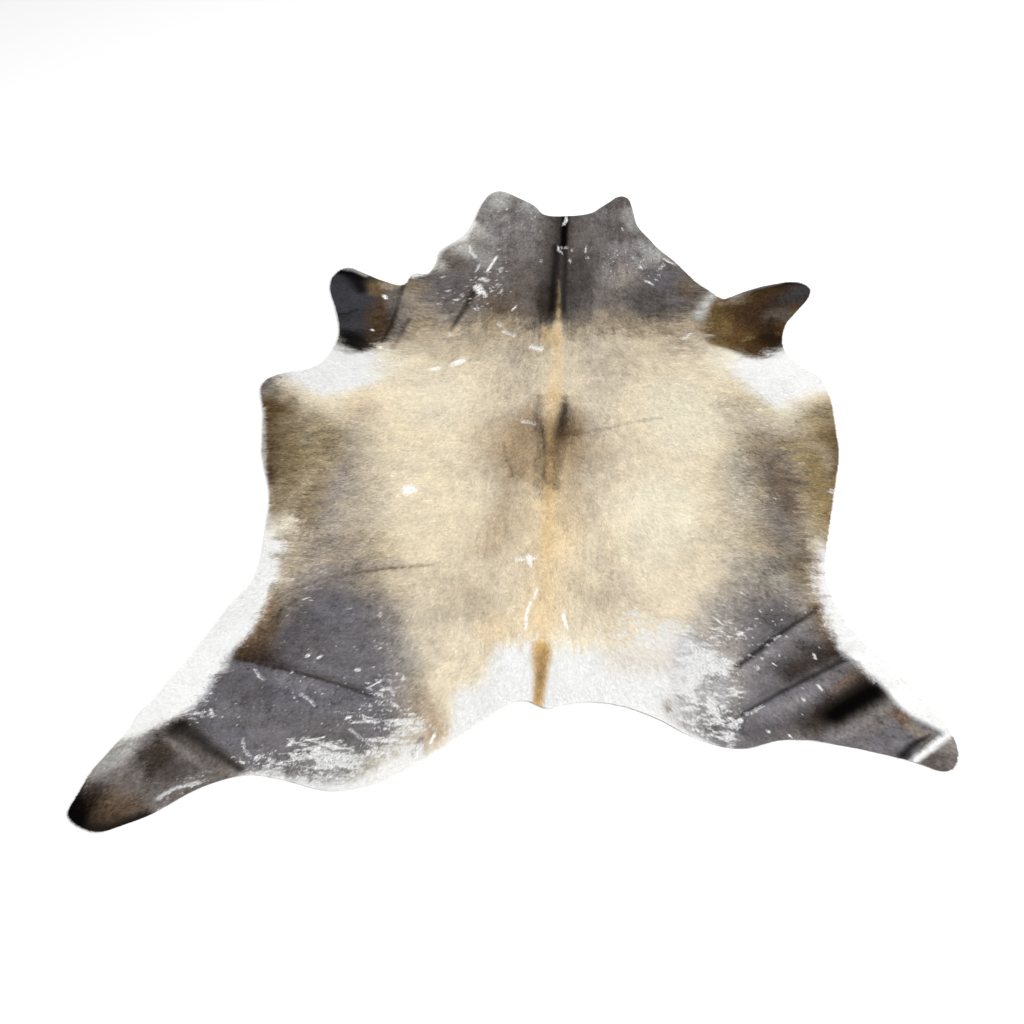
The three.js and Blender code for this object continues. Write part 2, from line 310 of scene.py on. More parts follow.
NECK = [
    area("light tone of the neck", "fawn", 0.060, [
        (-0.50, 0.82), (-0.52, 0.46), (-0.44, 0.40), (-0.36, 0.42), (-0.28, 0.41), (-0.20, 0.40),
        (-0.10, 0.43), (0.00, 0.44), (0.12, 0.47), (0.22, 0.52), (0.30, 0.53), (0.42, 0.49), (0.50, 0.52),
        (0.56, 0.78), (0.40, 1.40), (-0.40, 1.40)], 0.80),
    area("half tone of the neck", "taupe", 0.050, [
        (-0.50, 0.82), (-0.50, 0.50), (-0.44, 0.47), (-0.38, 0.51), (-0.30, 0.50), (-0.22, 0.49),
        (-0.10, 0.51), (-0.02, 0.48), (0.12, 0.50), (0.30, 0.52), (0.42, 0.53), (0.49, 0.60), (0.56, 0.78),
        (0.40, 1.40), (-0.40, 1.40)], 0.9),
    area("neck", "mouse", 0.052, [
        (-0.52, 0.84), (-0.46, 0.68), (-0.38, 0.60), (-0.30, 0.565), (-0.24, 0.56), (-0.15, 0.59),
        (-0.06, 0.56), (-0.02, 0.54), (0.02, 0.58), (0.08, 0.555), (0.18, 0.61), (0.28, 0.60),
        (0.36, 0.595), (0.44, 0.635), (0.56, 0.74), (0.40, 1.40), (-0.40, 1.40)]),
    pool("left flap, tip", "silver", (-0.185, 1.285), (0.07, 0.045), turn=-20),
    pool("left flap, middle", "silver", (-0.203, 1.235), (0.05, 0.05), 0.85),
    pool("left flap, inner edge", "silver", (-0.085, 1.200), (0.05, 0.035), 0.7, turn=-40),
    streak("left flap, pale streak", "silver", (0.010, 0.014), [
        (-0.10, 1.205), (-0.15, 1.15), (-0.21, 1.09)], 0.4),
    pool("left flap, fleck", "mouse", (-0.14, 1.255), (0.03, 0.018), 0.6, turn=-35),
    pool("left flap, root", "silver", (-0.250, 1.14), (0.040, 0.08), 0.32, turn=10),
    pool("left neck, pale band", "silver", (-0.245, 1.035), (0.065, 0.040), 0.95, turn=-20),
    pool("left neck, pale rim", "silver", (-0.295, 0.975), (0.035, 0.05), 0.8),
    pool("left flap, low", "stone", (-0.14, 1.12), (0.04, 0.03), 0.35),
    pool("left neck, dark edge", "mouse", (-0.15, 1.165), (0.035, 0.025), 0.5),
    pool("left neck, pale spot", "silver", (-0.290, 0.930), (0.045, 0.05), 0.85),
    pool("left lobe, pale rim", "silver", (-0.372, 0.855), (0.022, 0.06), 0.85, turn=5),
    pool("left neck, pale streaks", "silver", (-0.225, 0.89), (0.05, 0.06), 0.55, turn=15),
    pool("left neck, middle", "stone", (-0.13, 1.00), (0.10, 0.13), 0.65),
    pool("left neck, pale middle", "silver", (-0.215, 0.985), (0.04, 0.03), 0.45),
    pool("left neck, grey", "stone", (-0.05, 1.10), (0.05, 0.06), 0.3),
    pool("left lobe", "umber", (-0.320, 0.88), (0.03, 0.05), 0.25, turn=12),
    pool("left lobe, dark", "charcoal", (-0.31, 0.83), (0.04, 0.05), 0.22),
    pool("left lobe, low", "slate", (-0.33, 0.75), (0.07, 0.06), 0.5),
    pool("left neck, olive", "khaki", (-0.43, 0.70), (0.035, 0.06), 0.45),
    pool("left neck, fawn", "taupe", (-0.425, 0.60), (0.03, 0.06), 0.45),
    pool("left neck, low", "mouse", (-0.33, 0.58), (0.07, 0.06), 0.5),
    pool("left neck, wedge", "mouse", (-0.46, 0.53), (0.022, 0.11), 0.85, turn=-8),
    pool("left neck, pale low spot", "silver", (-0.325, 0.555), (0.014, 0.018), 0.5),
    pool("left neck, brown", "umber", (-0.085, 0.74), (0.045, 0.10), 0.28),
    pool("left neck, bark", "umber", (-0.16, 0.66), (0.06, 0.07), 0.40),
    pool("left neck, foot", "olive", (-0.13, 0.60), (0.10, 0.03), 0.35),
    pool("right flap", "charcoal", (0.215, 1.23), (0.04, 0.06), 0.30),
    pool("right flap, edge", "silver", (0.262, 1.145), (0.032, 0.07), 0.7, turn=15),
    pool("right flap, root", "stone", (0.15, 1.17), (0.05, 0.035), 0.6),
    pool("right neck, pale band", "stone", (0.255, 0.98), (0.09, 0.035), 0.8, turn=15),
    pool("right neck, pale edge", "silver", (0.33, 0.950), (0.030, 0.045), 0.85, turn=35),
    pool("right neck, streaked", "stone", (0.225, 0.86), (0.07, 0.12), 0.75, turn=-15),
    pool("right neck, pale spot", "silver", (0.302, 0.895), (0.030, 0.028), 0.50),
    pool("right neck, warm", "taupe", (0.23, 0.80), (0.05, 0.07), 0.25, turn=-15),
    pool("right neck, slate", "slate", (0.355, 0.82), (0.06, 0.08), 0.7),
    pool("right neck, dark", "charcoal", (0.315, 0.71), (0.07, 0.06), 0.35, turn=15),
    pool("right neck, brown edge", "olive", (0.435, 0.765), (0.035, 0.045), 0.40, turn=40),
    pool("right neck, rust", "rust", (0.432, 0.725), (0.025, 0.022), 0.35),
    pool("right neck, foot", "charcoal", (0.36, 0.645), (0.10, 0.035), 0.28, turn=10),
    pool("right neck, brown spot", "umber", (0.19, 0.605), (0.025, 0.022), 0.45),
    pool("right neck, pale foot", "fawn", (0.150, 0.60), (0.025, 0.035), 0.4),
    pool("right neck, fawn foot", "fawn", (0.235, 0.605), (0.03, 0.02), 0.4),
    pool("right neck, warm foot", "fawn", (0.205, 0.61), (0.05, 0.08), 0.22),
    pool("left withers, brown", "olive", (-0.180, 0.535), (0.030, 0.045), 0.32),
    pool("right withers, dull", "taupe", (0.385, 0.465), (0.055, 0.040), 0.38, turn=-25),
    # A painted shade line along the crease behind the right neck.
    streak("right neck, crease", "bark", (0.005, 0.003), [
        (0.29, 0.596), (0.37, 0.612), (0.45, 0.650)], 0.35),
    # A painted shade line along the fold of the left neck.
    streak("left neck, crease", "bark", (0.012, 0.005), [
        (-0.243, 0.70), (-0.262, 0.62), (-0.302, 0.50)], 0.85, edge=0.9),
    streak("dark of the mane", "charcoal", (0.036, 0.048), [
        (0.02, 1.19), (0.020, 0.85), (0.01, 0.60)], 0.9),
    pool("mane, right", "charcoal", (0.09, 0.78), (0.045, 0.17), 0.7),
    pool("mane, left", "charcoal", (-0.02, 0.78), (0.035, 0.20), 0.45),
    pool("mane, left foot", "bark", (-0.015, 0.66), (0.035, 0.10), 0.55),
    streak("stripe of the mane", "black", (0.013, 0.012), [
        (0.034, 1.19), (0.033, 1.05), (0.032, 0.97)], edge=0.5),
    streak("stripe of the mane, left", "black", (0.012, 0.010), [
        (0.008, 0.97), (0.008, 0.80), (0.004, 0.62)], 0.75),
    streak("stripe of the mane, right", "black", (0.009, 0.008), [
        (0.038, 0.96), (0.042, 0.72), (0.044, 0.62)], 0.65),
    pool("left neck, specks", "speckle", (-0.20, 0.80), (0.06, 0.14), 0.26, turn=-10),
    pool("left neck, low specks", "speckle", (-0.16, 0.66), (0.07, 0.09), 0.14),
    pool("left neck, edge specks", "speckle", (-0.30, 0.68), (0.07, 0.06), 0.12),
    pool("right neck, specks", "speckle", (0.25, 0.88), (0.10, 0.12), 0.16),
    pool("flap specks", "speckle", (-0.15, 1.14), (0.10, 0.10), 0.14),
]
SHOULDERS = [
    area("left shoulder, white", "white", 0.030, [
        (-0.72, 0.44), (-0.60, 0.39), (-0.52, 0.395), (-0.475, 0.37), (-0.465, 0.31), (-0.50, 0.240),
        (-0.57, 0.190), (-0.63, 0.165), (-0.70, 0.180), (-0.755, 0.218), (-0.80, 0.255), (-0.90, 0.33)]),
    pool("left shoulder, ivory", "ivory", (-0.46, 0.32), (0.06, 0.08), 0.6),
    area("right shoulder, white", "white", 0.028, [
        (0.535, 0.43), (0.545, 0.36), (0.585, 0.29), (0.62, 0.225), (0.66, 0.175), (0.70, 0.185),
        (0.745, 0.235), (0.78, 0.265), (0.86, 0.26), (0.90, 0.50), (0.72, 0.55), (0.60, 0.46)]),
    pool("right shoulder, cream", "ivory", (0.525, 0.40), (0.05, 0.08), 0.7),
]
FORE_LEGS = [
    area("left fore leg", "ink", 0.014, [
        (-0.80, 0.86), (-0.55, 0.84), (-0.472, 0.765), (-0.476, 0.58), (-0.492, 0.45), (-0.518, 0.398),
        (-0.560, 0.380), (-0.605, 0.402), (-0.66, 0.445), (-0.76, 0.55)]),
    pool("left fore leg, olive", "olive", (-0.545, 0.71), (0.050, 0.055), 0.75, turn=20),
    pool("left fore leg, notch", "taupe", (-0.505, 0.735), (0.04, 0.022), 0.75),
    pool("left fore leg, brown", "umber", (-0.525, 0.55), (0.040, 0.14), 0.75),
    pool("left fore leg, taupe", "mouse", (-0.50, 0.64), (0.022, 0.07), 0.6, turn=5),
    pool("left fore toe", "black", (-0.665, 0.80), (0.085, 0.042), turn=-18),
    streak("left fore leg, front", "black", (0.034, 0.020), [
        (-0.640, 0.78), (-0.60, 0.69)], 0.9, edge=0.9),
    pool("left fore leg, foot", "black", (-0.60, 0.425), (0.060, 0.045), 0.9, turn=-15),
    pool("left fore leg, brown foot", "bark", (-0.550, 0.45), (0.030, 0.05), 0.25),
    # A painted shade line in the crease of the left fore toe.
    streak("left fore leg, fold", "black", (0.006, 0.004), [
        (-0.67, 0.553), (-0.635, 0.563), (-0.60, 0.585)], 0.6),
    # A painted shade line along the fold of the left fore leg, and another beside it along a second crease.
    streak("left fore leg, crease", "black", (0.008, 0.006), [
        (-0.469, 0.72), (-0.474, 0.60), (-0.486, 0.50), (-0.503, 0.425)], 0.80, edge=0.8),
    streak("left fore leg, second crease", "bark", (0.006, 0.004), [
        (-0.436, 0.55), (-0.455, 0.46), (-0.468, 0.40)], 0.60),
    area("right fore leg", "umber", 0.016, [
        (0.500, 0.665), (0.53, 0.75), (0.60, 0.82), (0.75, 0.90), (0.92, 0.80), (0.84, 0.62), (0.76, 0.50),
        (0.705, 0.478), (0.675, 0.432), (0.640, 0.404), (0.610, 0.412), (0.582, 0.448), (0.54, 0.466),
        (0.495, 0.485), (0.482, 0.55)]),
    pool("right fore leg, olive", "olive", (0.520, 0.58), (0.045, 0.10), 0.65),
    pool("right fore leg, brown", "bark", (0.63, 0.645), (0.08, 0.08), 0.75, turn=40),
    pool("right fore leg, root", "taupe", (0.56, 0.70), (0.045, 0.030), 0.45, turn=20),
    streak("right fore leg, front", "black", (0.018, 0.045), [
        (0.61, 0.755), (0.70, 0.795), (0.82, 0.835)], 0.95),
    streak("right fore leg, slate", "ink", (0.030, 0.050), [
        (0.725, 0.70), (0.77, 0.735), (0.83, 0.775)], 0.95, edge=0.9),
    pool("right fore leg, foot", "black", (0.685, 0.510), (0.045, 0.06), 0.8, turn=20),
    pool("right fore leg, back", "bark", (0.69, 0.63), (0.05, 0.09), 0.75, turn=-20),
    streak("right fore leg, warm foot", "olive", (0.014, 0.010), [
        (0.50, 0.495), (0.55, 0.468), (0.60, 0.432)], 0.9),
    pool("right fore leg, spot", "khaki", (0.610, 0.512), (0.012, 0.009), 0.8),
    streak("right notch, pale tuft", "silver", (0.014, 0.017), [
        (0.515, 0.735), (0.485, 0.67), (0.465, 0.61)], 0.95, edge=0.8),
    pool("left notch, white tuft", "white", (-0.445, 0.790), (0.024, 0.020)),
]
FLANKS = [
    area("left flank", "taupe", 0.085, [
        (-0.90, 0.28), (-0.79, 0.225), (-0.74, 0.17), (-0.69, 0.08), (-0.63, 0.02), (-0.57, 0.05),
        (-0.52, 0.08), (-0.51, 0.00), (-0.48, -0.08), (-0.47, -0.16), (-0.44, -0.24), (-0.43, -0.34),
        (-0.38, -0.44), (-0.37, -0.56), (-0.35, -0.72), (-0.72, -0.72), (-0.70, -0.46), (-0.74, -0.36),
        (-0.92, 0.00)], 0.97),
    area("left flank, upper edge", "taupe", 0.020, [
        (-0.90, 0.250), (-0.80, 0.235), (-0.755, 0.180), (-0.715, 0.120), (-0.73, 0.05),
        (-0.90, 0.05)], 0.9),
    pool("left flank, streaked", "khaki", (-0.65, -0.04), (0.08, 0.13), 0.75),
    pool("left flank, clay", "clay", (-0.52, 0.12), (0.05, 0.05), 0.3, turn=20),
    streak("left flank, olive", "olive", (0.046, 0.040), [
        (-0.740, 0.08), (-0.705, -0.12), (-0.675, -0.28)], 0.58),
    streak("left flank, brown edge", "umber", (0.034, 0.016), [
        (-0.80, 0.09), (-0.765, -0.03), (-0.730, -0.20)], 0.85),
    pool("left flank, corner", "mouse", (-0.81, 0.20), (0.035, 0.06), 0.85, turn=-10),
    pool("left flank, dark corner", "umber", (-0.785, 0.110), (0.055, 0.030), 0.75, turn=-25),
    pool("left flank, violet", "stone", (-0.54, -0.26), (0.05, 0.13), 0.5),
    pool("left flank, low", "stone", (-0.52, -0.46), (0.10, 0.07), 0.40, turn=10),
    pool("left flank, pale", "oat", (-0.49, -0.30), (0.05, 0.08), 0.35),
    pool("left flank, brown streak", "olive", (-0.605, -0.26), (0.035, 0.11), 0.40),
    pool("left flank, fawn", "fawn", (-0.660, -0.005), (0.026, 0.045), 0.55),
    pool("left flank, fawn, low", "fawn", (-0.660, -0.270), (0.022, 0.035), 0.45),
    # Painted shade along the crease above the left thigh: a thin brown line and a soft grey band.
    streak("left flank, brown knot", "olive", (0.005, 0.003), [
        (-0.560, -0.599), (-0.515, -0.549), (-0.453, -0.518), (-0.343, -0.491),
        (-0.26, -0.483)], 0.75, edge=0.9),
    streak("left flank, knot shade", "stone", (0.030, 0.020), [
        (-0.58, -0.58), (-0.515, -0.530), (-0.44, -0.50), (-0.36, -0.480)], 0.45),
    pool("left flank, cream end", "ivory", (-0.670, -0.37), (0.033, 0.045), 0.75),
    pool("left thigh, fading top", "stone", (-0.505, -0.555), (0.125, 0.055), 0.45),
    pool("left flank, pale corner", "ivory", (-0.750, 0.215), (0.035, 0.025), 0.45),
    area("right flank", "taupe", 0.075, [
        (0.53, 0.20), (0.58, 0.20), (0.615, 0.15), (0.655, 0.11), (0.71, 0.12), (0.755, 0.19),
        (0.90, 0.26), (0.95, 0.00), (0.84, -0.36), (0.76, -0.40), (0.76, -0.70), (0.54, -0.72),
        (0.50, -0.58), (0.50, -0.50), (0.52, -0.40), (0.52, -0.30), (0.51, -0.18), (0.51, -0.08),
        (0.55, 0.00), (0.56, 0.10)], 0.97),
    area("right flank, upper edge", "khaki", 0.030, [
        (0.90, 0.25), (0.80, 0.225), (0.755, 0.18), (0.72, 0.10), (0.74, 0.04), (0.92, 0.02)], 0.60),
    pool("right flank, pale", "oat", (0.57, 0.16), (0.05, 0.06), 0.5),
    pool("right flank, olive corner", "olive", (0.81, 0.06), (0.035, 0.06), 0.40),
    streak("right flank, dark edge", "umber", (0.042, 0.024), [
        (0.842, 0.07), (0.838, -0.02), (0.805, -0.14)], 0.8),
    pool("right flank, olive", "olive", (0.665, 0.00), (0.08, 0.05), 0.25),
    pool("right flank, high", "oat", (0.655, 0.095), (0.07, 0.035), 0.45),
    pool("right flank, khaki", "khaki", (0.755, -0.14), (0.05, 0.16), 0.9, turn=10),
    pool("right flank, olive streak", "olive", (0.770, -0.12), (0.040, 0.14), 0.55, turn=8),
    pool("right flank, dark", "mouse", (0.655, -0.10), (0.05, 0.10), 0.70, turn=10),
    pool("right flank, dark, low", "mouse", (0.645, -0.26), (0.055, 0.10), 0.75),
    pool("right flank, dark core", "umber", (0.665, -0.16), (0.035, 0.12), 0.50, turn=8),
    pool("right flank, violet", "mouse", (0.66, -0.40), (0.05, 0.06), 0.6),
    pool("right flank, silver", "silver", (0.545, -0.14), (0.04, 0.13), 0.35),
    pool("right flank, low", "silver", (0.57, -0.48), (0.09, 0.07), 0.35),
    pool("right flank, brown foot", "olive", (0.68, -0.45), (0.025, 0.06), 0.5),
    pool("right flank, pale foot", "ivory", (0.735, -0.36), (0.02, 0.03), 0.7),
    pool("right flank, pale corner", "ivory", (0.695, 0.155), (0.045, 0.030), 0.45),
]
RUMP = [
    area("rump, white", "white", 0.022, [
        (-0.15, -1.14), (-0.175, -0.98), (-0.165, -0.87), (-0.115, -0.840), (-0.09, -0.770),
        (-0.06, -0.735), (-0.01, -0.735), (0.02, -0.72), (0.08, -0.72), (0.14, -0.735), (0.21, -0.735),
        (0.27, -0.71), (0.33, -0.690), (0.40, -0.68), (0.47, -0.74), (0.48, -0.84), (0.48, -0.95),
        (0.46, -1.10), (0.00, -1.05)]),
    pool("right rump, pale", "frost", (0.29, -0.67), (0.10, 0.05), 0.55, turn=10),
    pool("right rump, beige", "oat", (0.27, -0.76), (0.09, 0.05), 0.45, turn=15),
    pool("right rump, cream", "ivory", (0.12, -0.71), (0.09, 0.04), 0.5),
    pool("right rump, oat", "oat", (0.18, -0.650), (0.08, 0.045), 0.55, turn=10),
    pool("left rump, gold", "gold", (-0.09, -0.685), (0.05, 0.05), 0.40),
    pool("left rump, cream edge", "cream", (-0.14, -0.82), (0.05, 0.05), 0.4),
]
LEFT_HIND = [
    area("left thigh", "slate", 0.068, [
        (-0.70, -0.78), (-0.645, -0.71), (-0.60, -0.63), (-0.55, -0.57), (-0.45, -0.55), (-0.385, -0.595),
        (-0.330, -0.67), (-0.305, -0.76), (-0.285, -0.86), (-0.270, -0.93), (-0.28, -1.02), (-0.33, -1.08),
        (-0.42, -1.24), (-0.62, -1.22), (-0.80, -1.10), (-0.90, -0.95), (-0.80, -0.84)], 0.97),
    streak("left thigh, violet edge", "stone", (0.040, 0.028), [
        (-0.375, -0.64), (-0.32, -0.78), (-0.285, -0.90)], 0.50),
    pool("left thigh, shade", "charcoal", (-0.56, -0.76), (0.10, 0.06), 0.25, turn=-10),
    streak("left thigh, warm edge", "rust", (0.012, 0.024), [
        (-0.648, -0.63), (-0.665, -0.71), (-0.70, -0.79)], 0.70),
    streak("left thigh, brown edge", "umber", (0.003, 0.042), [
        (-0.620, -0.645), (-0.632, -0.72), (-0.665, -0.79)], 0.80),
    pool("left thigh, bark", "bark", (-0.65, -0.790), (0.060, 0.028), 0.60, turn=-15),
    pool("left thigh, olive", "charcoal", (-0.58, -0.72), (0.04, 0.09), 0.30),
    pool("left belly, pale", "sand", (-0.635, -0.47), (0.045, 0.12), 0.45),
    streak("left belly, olive", "khaki", (0.022, 0.016), [(-0.62, -0.42), (-0.62, -0.52)], 0.15),
    # The fold over the left thigh: painted shade above its crest and a dark painted shade line along it, the
    # thigh's own slate again below it to give that shade a sharp lower edge, and painted light on its lit
    # side.
    streak("left thigh, shade of the fold", "bark", (0.024, 0.004), [
        (-0.74, -0.792), (-0.60, -0.825), (-0.48, -0.858), (-0.38, -0.890)], 0.42),
    streak("left thigh, line of the fold", "bark", (0.008, 0.005), [
        (-0.74, -0.808), (-0.60, -0.840), (-0.48, -0.872), (-0.36, -0.906)], 0.75, edge=0.9),
    area("left thigh, crest", "slate", 0.004, [
        (-0.76, -0.812), (-0.68, -0.828), (-0.58, -0.852), (-0.46, -0.885), (-0.36, -0.914),
        (-0.46, -0.945), (-0.60, -0.930), (-0.80, -0.930)], 0.9),
    pool("left thigh, dull crest", "charcoal", (-0.66, -0.905), (0.08, 0.05), 0.40, turn=-20),
    streak("left thigh, light of the fold", "stone", (0.014, 0.014), [
        (-0.58, -0.877), (-0.45, -0.912)], 0.40),
    pool("left thigh, brown hem", "clay", (-0.240, -0.93), (0.045, 0.045), 0.55, turn=-30),
    pool("left thigh, brown hem, inner", "taupe", (-0.270, -0.88), (0.03, 0.06), 0.5),
    pool("left thigh, brown hem, low", "clay", (-0.215, -0.995), (0.030, 0.040), 0.6),
    streak("left thigh, hem mark", "mouse", (0.006, 0.005), [
        (-0.235, -1.02), (-0.248, -1.065)], 0.8, edge=0.8),
    pool("left thigh, pale drift", "silver", (-0.405, -1.10), (0.075, 0.035), 0.40, turn=-4),
    area("left thigh, white drift", "frost", 0.022, [
        (-0.525, -1.056), (-0.48, -1.042), (-0.42, -1.048), (-0.385, -1.068), (-0.355, -1.09),
        (-0.39, -1.138), (-0.45, -1.132), (-0.478, -1.095), (-0.51, -1.075)], 0.72),
    pool("left thigh, hem frost", "frost", (-0.345, -1.09), (0.045, 0.030), 0.50),
    pool("left thigh, grey frost", "frost", (-0.565, -1.126), (0.055, 0.022), 0.50),
    pool("left thigh, frost, inner", "frost", (-0.275, -1.00), (0.042, 0.055), 0.75),
    pool("left thigh, frost, hem top", "frost", (-0.278, -0.945), (0.034, 0.028), 0.35),
    pool("left thigh, frost, high", "frost", (-0.35, -0.96), (0.07, 0.025), 0.25),
    pool("left thigh, frost, knee", "frost", (-0.335, -0.880), (0.050, 0.028), 0.22),
    pool("left thigh, frost, drift top", "frost", (-0.495, -1.048), (0.050, 0.020), 0.26),
    pool("left thigh, frost, hem side", "frost", (-0.328, -1.030), (0.038, 0.036), 0.45),
    pool("left thigh, frost, outer", "frost", (-0.612, -1.105), (0.035, 0.025), 0.30),
    pool("left thigh, frost, edge", "frost", (-0.755, -0.95), (0.03, 0.06), 0.35, turn=25),
    pool("left thigh, specks", "speckle", (-0.50, -0.92), (0.18, 0.07), 0.09, turn=-15),
    pool("left thigh, high specks", "speckle", (-0.48, -0.68), (0.16, 0.14), 0.08),
    pool("left thigh, inner specks", "speckle", (-0.32, -0.80), (0.05, 0.12), 0.16),
    # Painted shade along the crease over the top of the left thigh.
    streak("left thigh, crease over the top", "umber", (0.007, 0.004), [
        (-0.60, -0.585), (-0.545, -0.545), (-0.47, -0.517), (-0.36, -0.493)], 0.35),
    pool("left shank, specks", "speckle", (-0.70, -1.02), (0.08, 0.06), 0.16),
    area("left hem, white", "white", 0.014, [
        (-0.15, -0.90), (-0.19, -1.05), (-0.265, -1.045), (-0.305, -1.090), (-0.36, -1.133),
        (-0.45, -1.150), (-0.57, -1.130), (-0.66, -1.132), (-0.70, -1.22), (-0.42, -1.25),
        (0.00, -1.00)], 0.95),
    area("left shank", "mouse", 0.015, [
        (-0.80, -0.995), (-0.72, -1.055), (-0.61, -1.122), (-0.66, -1.18), (-0.76, -1.30), (-0.95, -1.42),
        (-1.15, -1.25), (-1.02, -1.10), (-0.95, -1.05), (-0.88, -1.025)]),
    pool("left shank, pale edge", "silver", (-0.920, -1.085), (0.040, 0.08), 0.9, turn=-25),
    pool("left shank, pale", "stone", (-0.920, -1.135), (0.040, 0.035), 0.35),
    pool("left shank, dull light", "stone", (-0.868, -1.108), (0.028, 0.030), 0.40),
    pool("left shank, light hem", "stone", (-0.805, -1.225), (0.035, 0.025), 0.35, turn=-30),
    pool("left shank, bark", "bark", (-0.825, -1.095), (0.045, 0.060), 0.80, turn=-30),
    pool("left shank, umber", "bark", (-0.80, -1.14), (0.05, 0.04), 0.45, turn=30),
    pool("left shank, pale top", "stone", (-0.862, -1.064), (0.026, 0.020), 0.65, turn=-25),
    pool("left hock, olive", "bark", (-0.800, -1.020), (0.035, 0.022), 0.75, turn=-30),
    # The fold over the left hock: painted shade on its steep side, the slate again on its crest side to give
    # that shade a sharp edge, then painted light on the ridge beside it and painted shade next to that
    # ridge.
    streak("left hock, shade of the fold", "black", (0.024, 0.009), [
        (-0.785, -1.020), (-0.71, -1.078), (-0.63, -1.126)], 0.80, edge=0.9),
    area("left hock, above the fold", "slate", 0.004, [
        (-0.765, -0.985), (-0.735, -1.018), (-0.67, -1.070), (-0.605, -1.122), (-0.60, -1.06),
        (-0.68, -0.99)], 0.9),
    streak("left hock, ridge", "stone", (0.007, 0.007), [(-0.825, -1.050), (-0.70, -1.135)], 0.50),
    streak("left hock, ridge shade", "bark", (0.006, 0.006), [(-0.845, -1.035), (-0.78, -1.095)], 0.4),
    pool("left shank, inner", "charcoal", (-0.75, -1.13), (0.05, 0.022), 0.5, turn=32),
    pool("left hind toe, umber", "umber", (-0.885, -1.245), (0.085, 0.05), 0.75),
    pool("left hind toe, olive", "bark", (-0.950, -1.215), (0.05, 0.04), 0.8),
    pool("left hind toe", "black", (-0.975, -1.265), (0.055, 0.06)),
    streak("left hind toe, sole", "black", (0.030, 0.012), [
        (-0.96, -1.295), (-0.88, -1.295), (-0.81, -1.255)], 0.9),
    streak("left shank, white streak", "white", (0.004, 0.003), [
        (-0.795, -1.210), (-0.765, -1.185), (-0.72, -1.165)], 0.75, edge=0.9),
    streak("left shank, white rim", "white", (0.006, 0.007), [
        (-0.785, -1.248), (-0.70, -1.188), (-0.62, -1.150)], edge=0.6),
    pool("left shank, frost", "frost", (-0.74, -1.175), (0.05, 0.015), 0.3, turn=35),
    area("left flank band, white", "white", 0.013, [
        (-0.76, -0.35), (-0.690, -0.385), (-0.660, -0.42), (-0.650, -0.52), (-0.656, -0.62),
        (-0.666, -0.69), (-0.703, -0.77), (-0.722, -0.84), (-0.746, -0.92), (-0.775, -0.980),
        (-0.82, -1.018), (-0.88, -1.052), (-0.95, -1.075), (-1.10, -1.00), (-0.98, -0.70),
        (-0.88, -0.40)]),
]
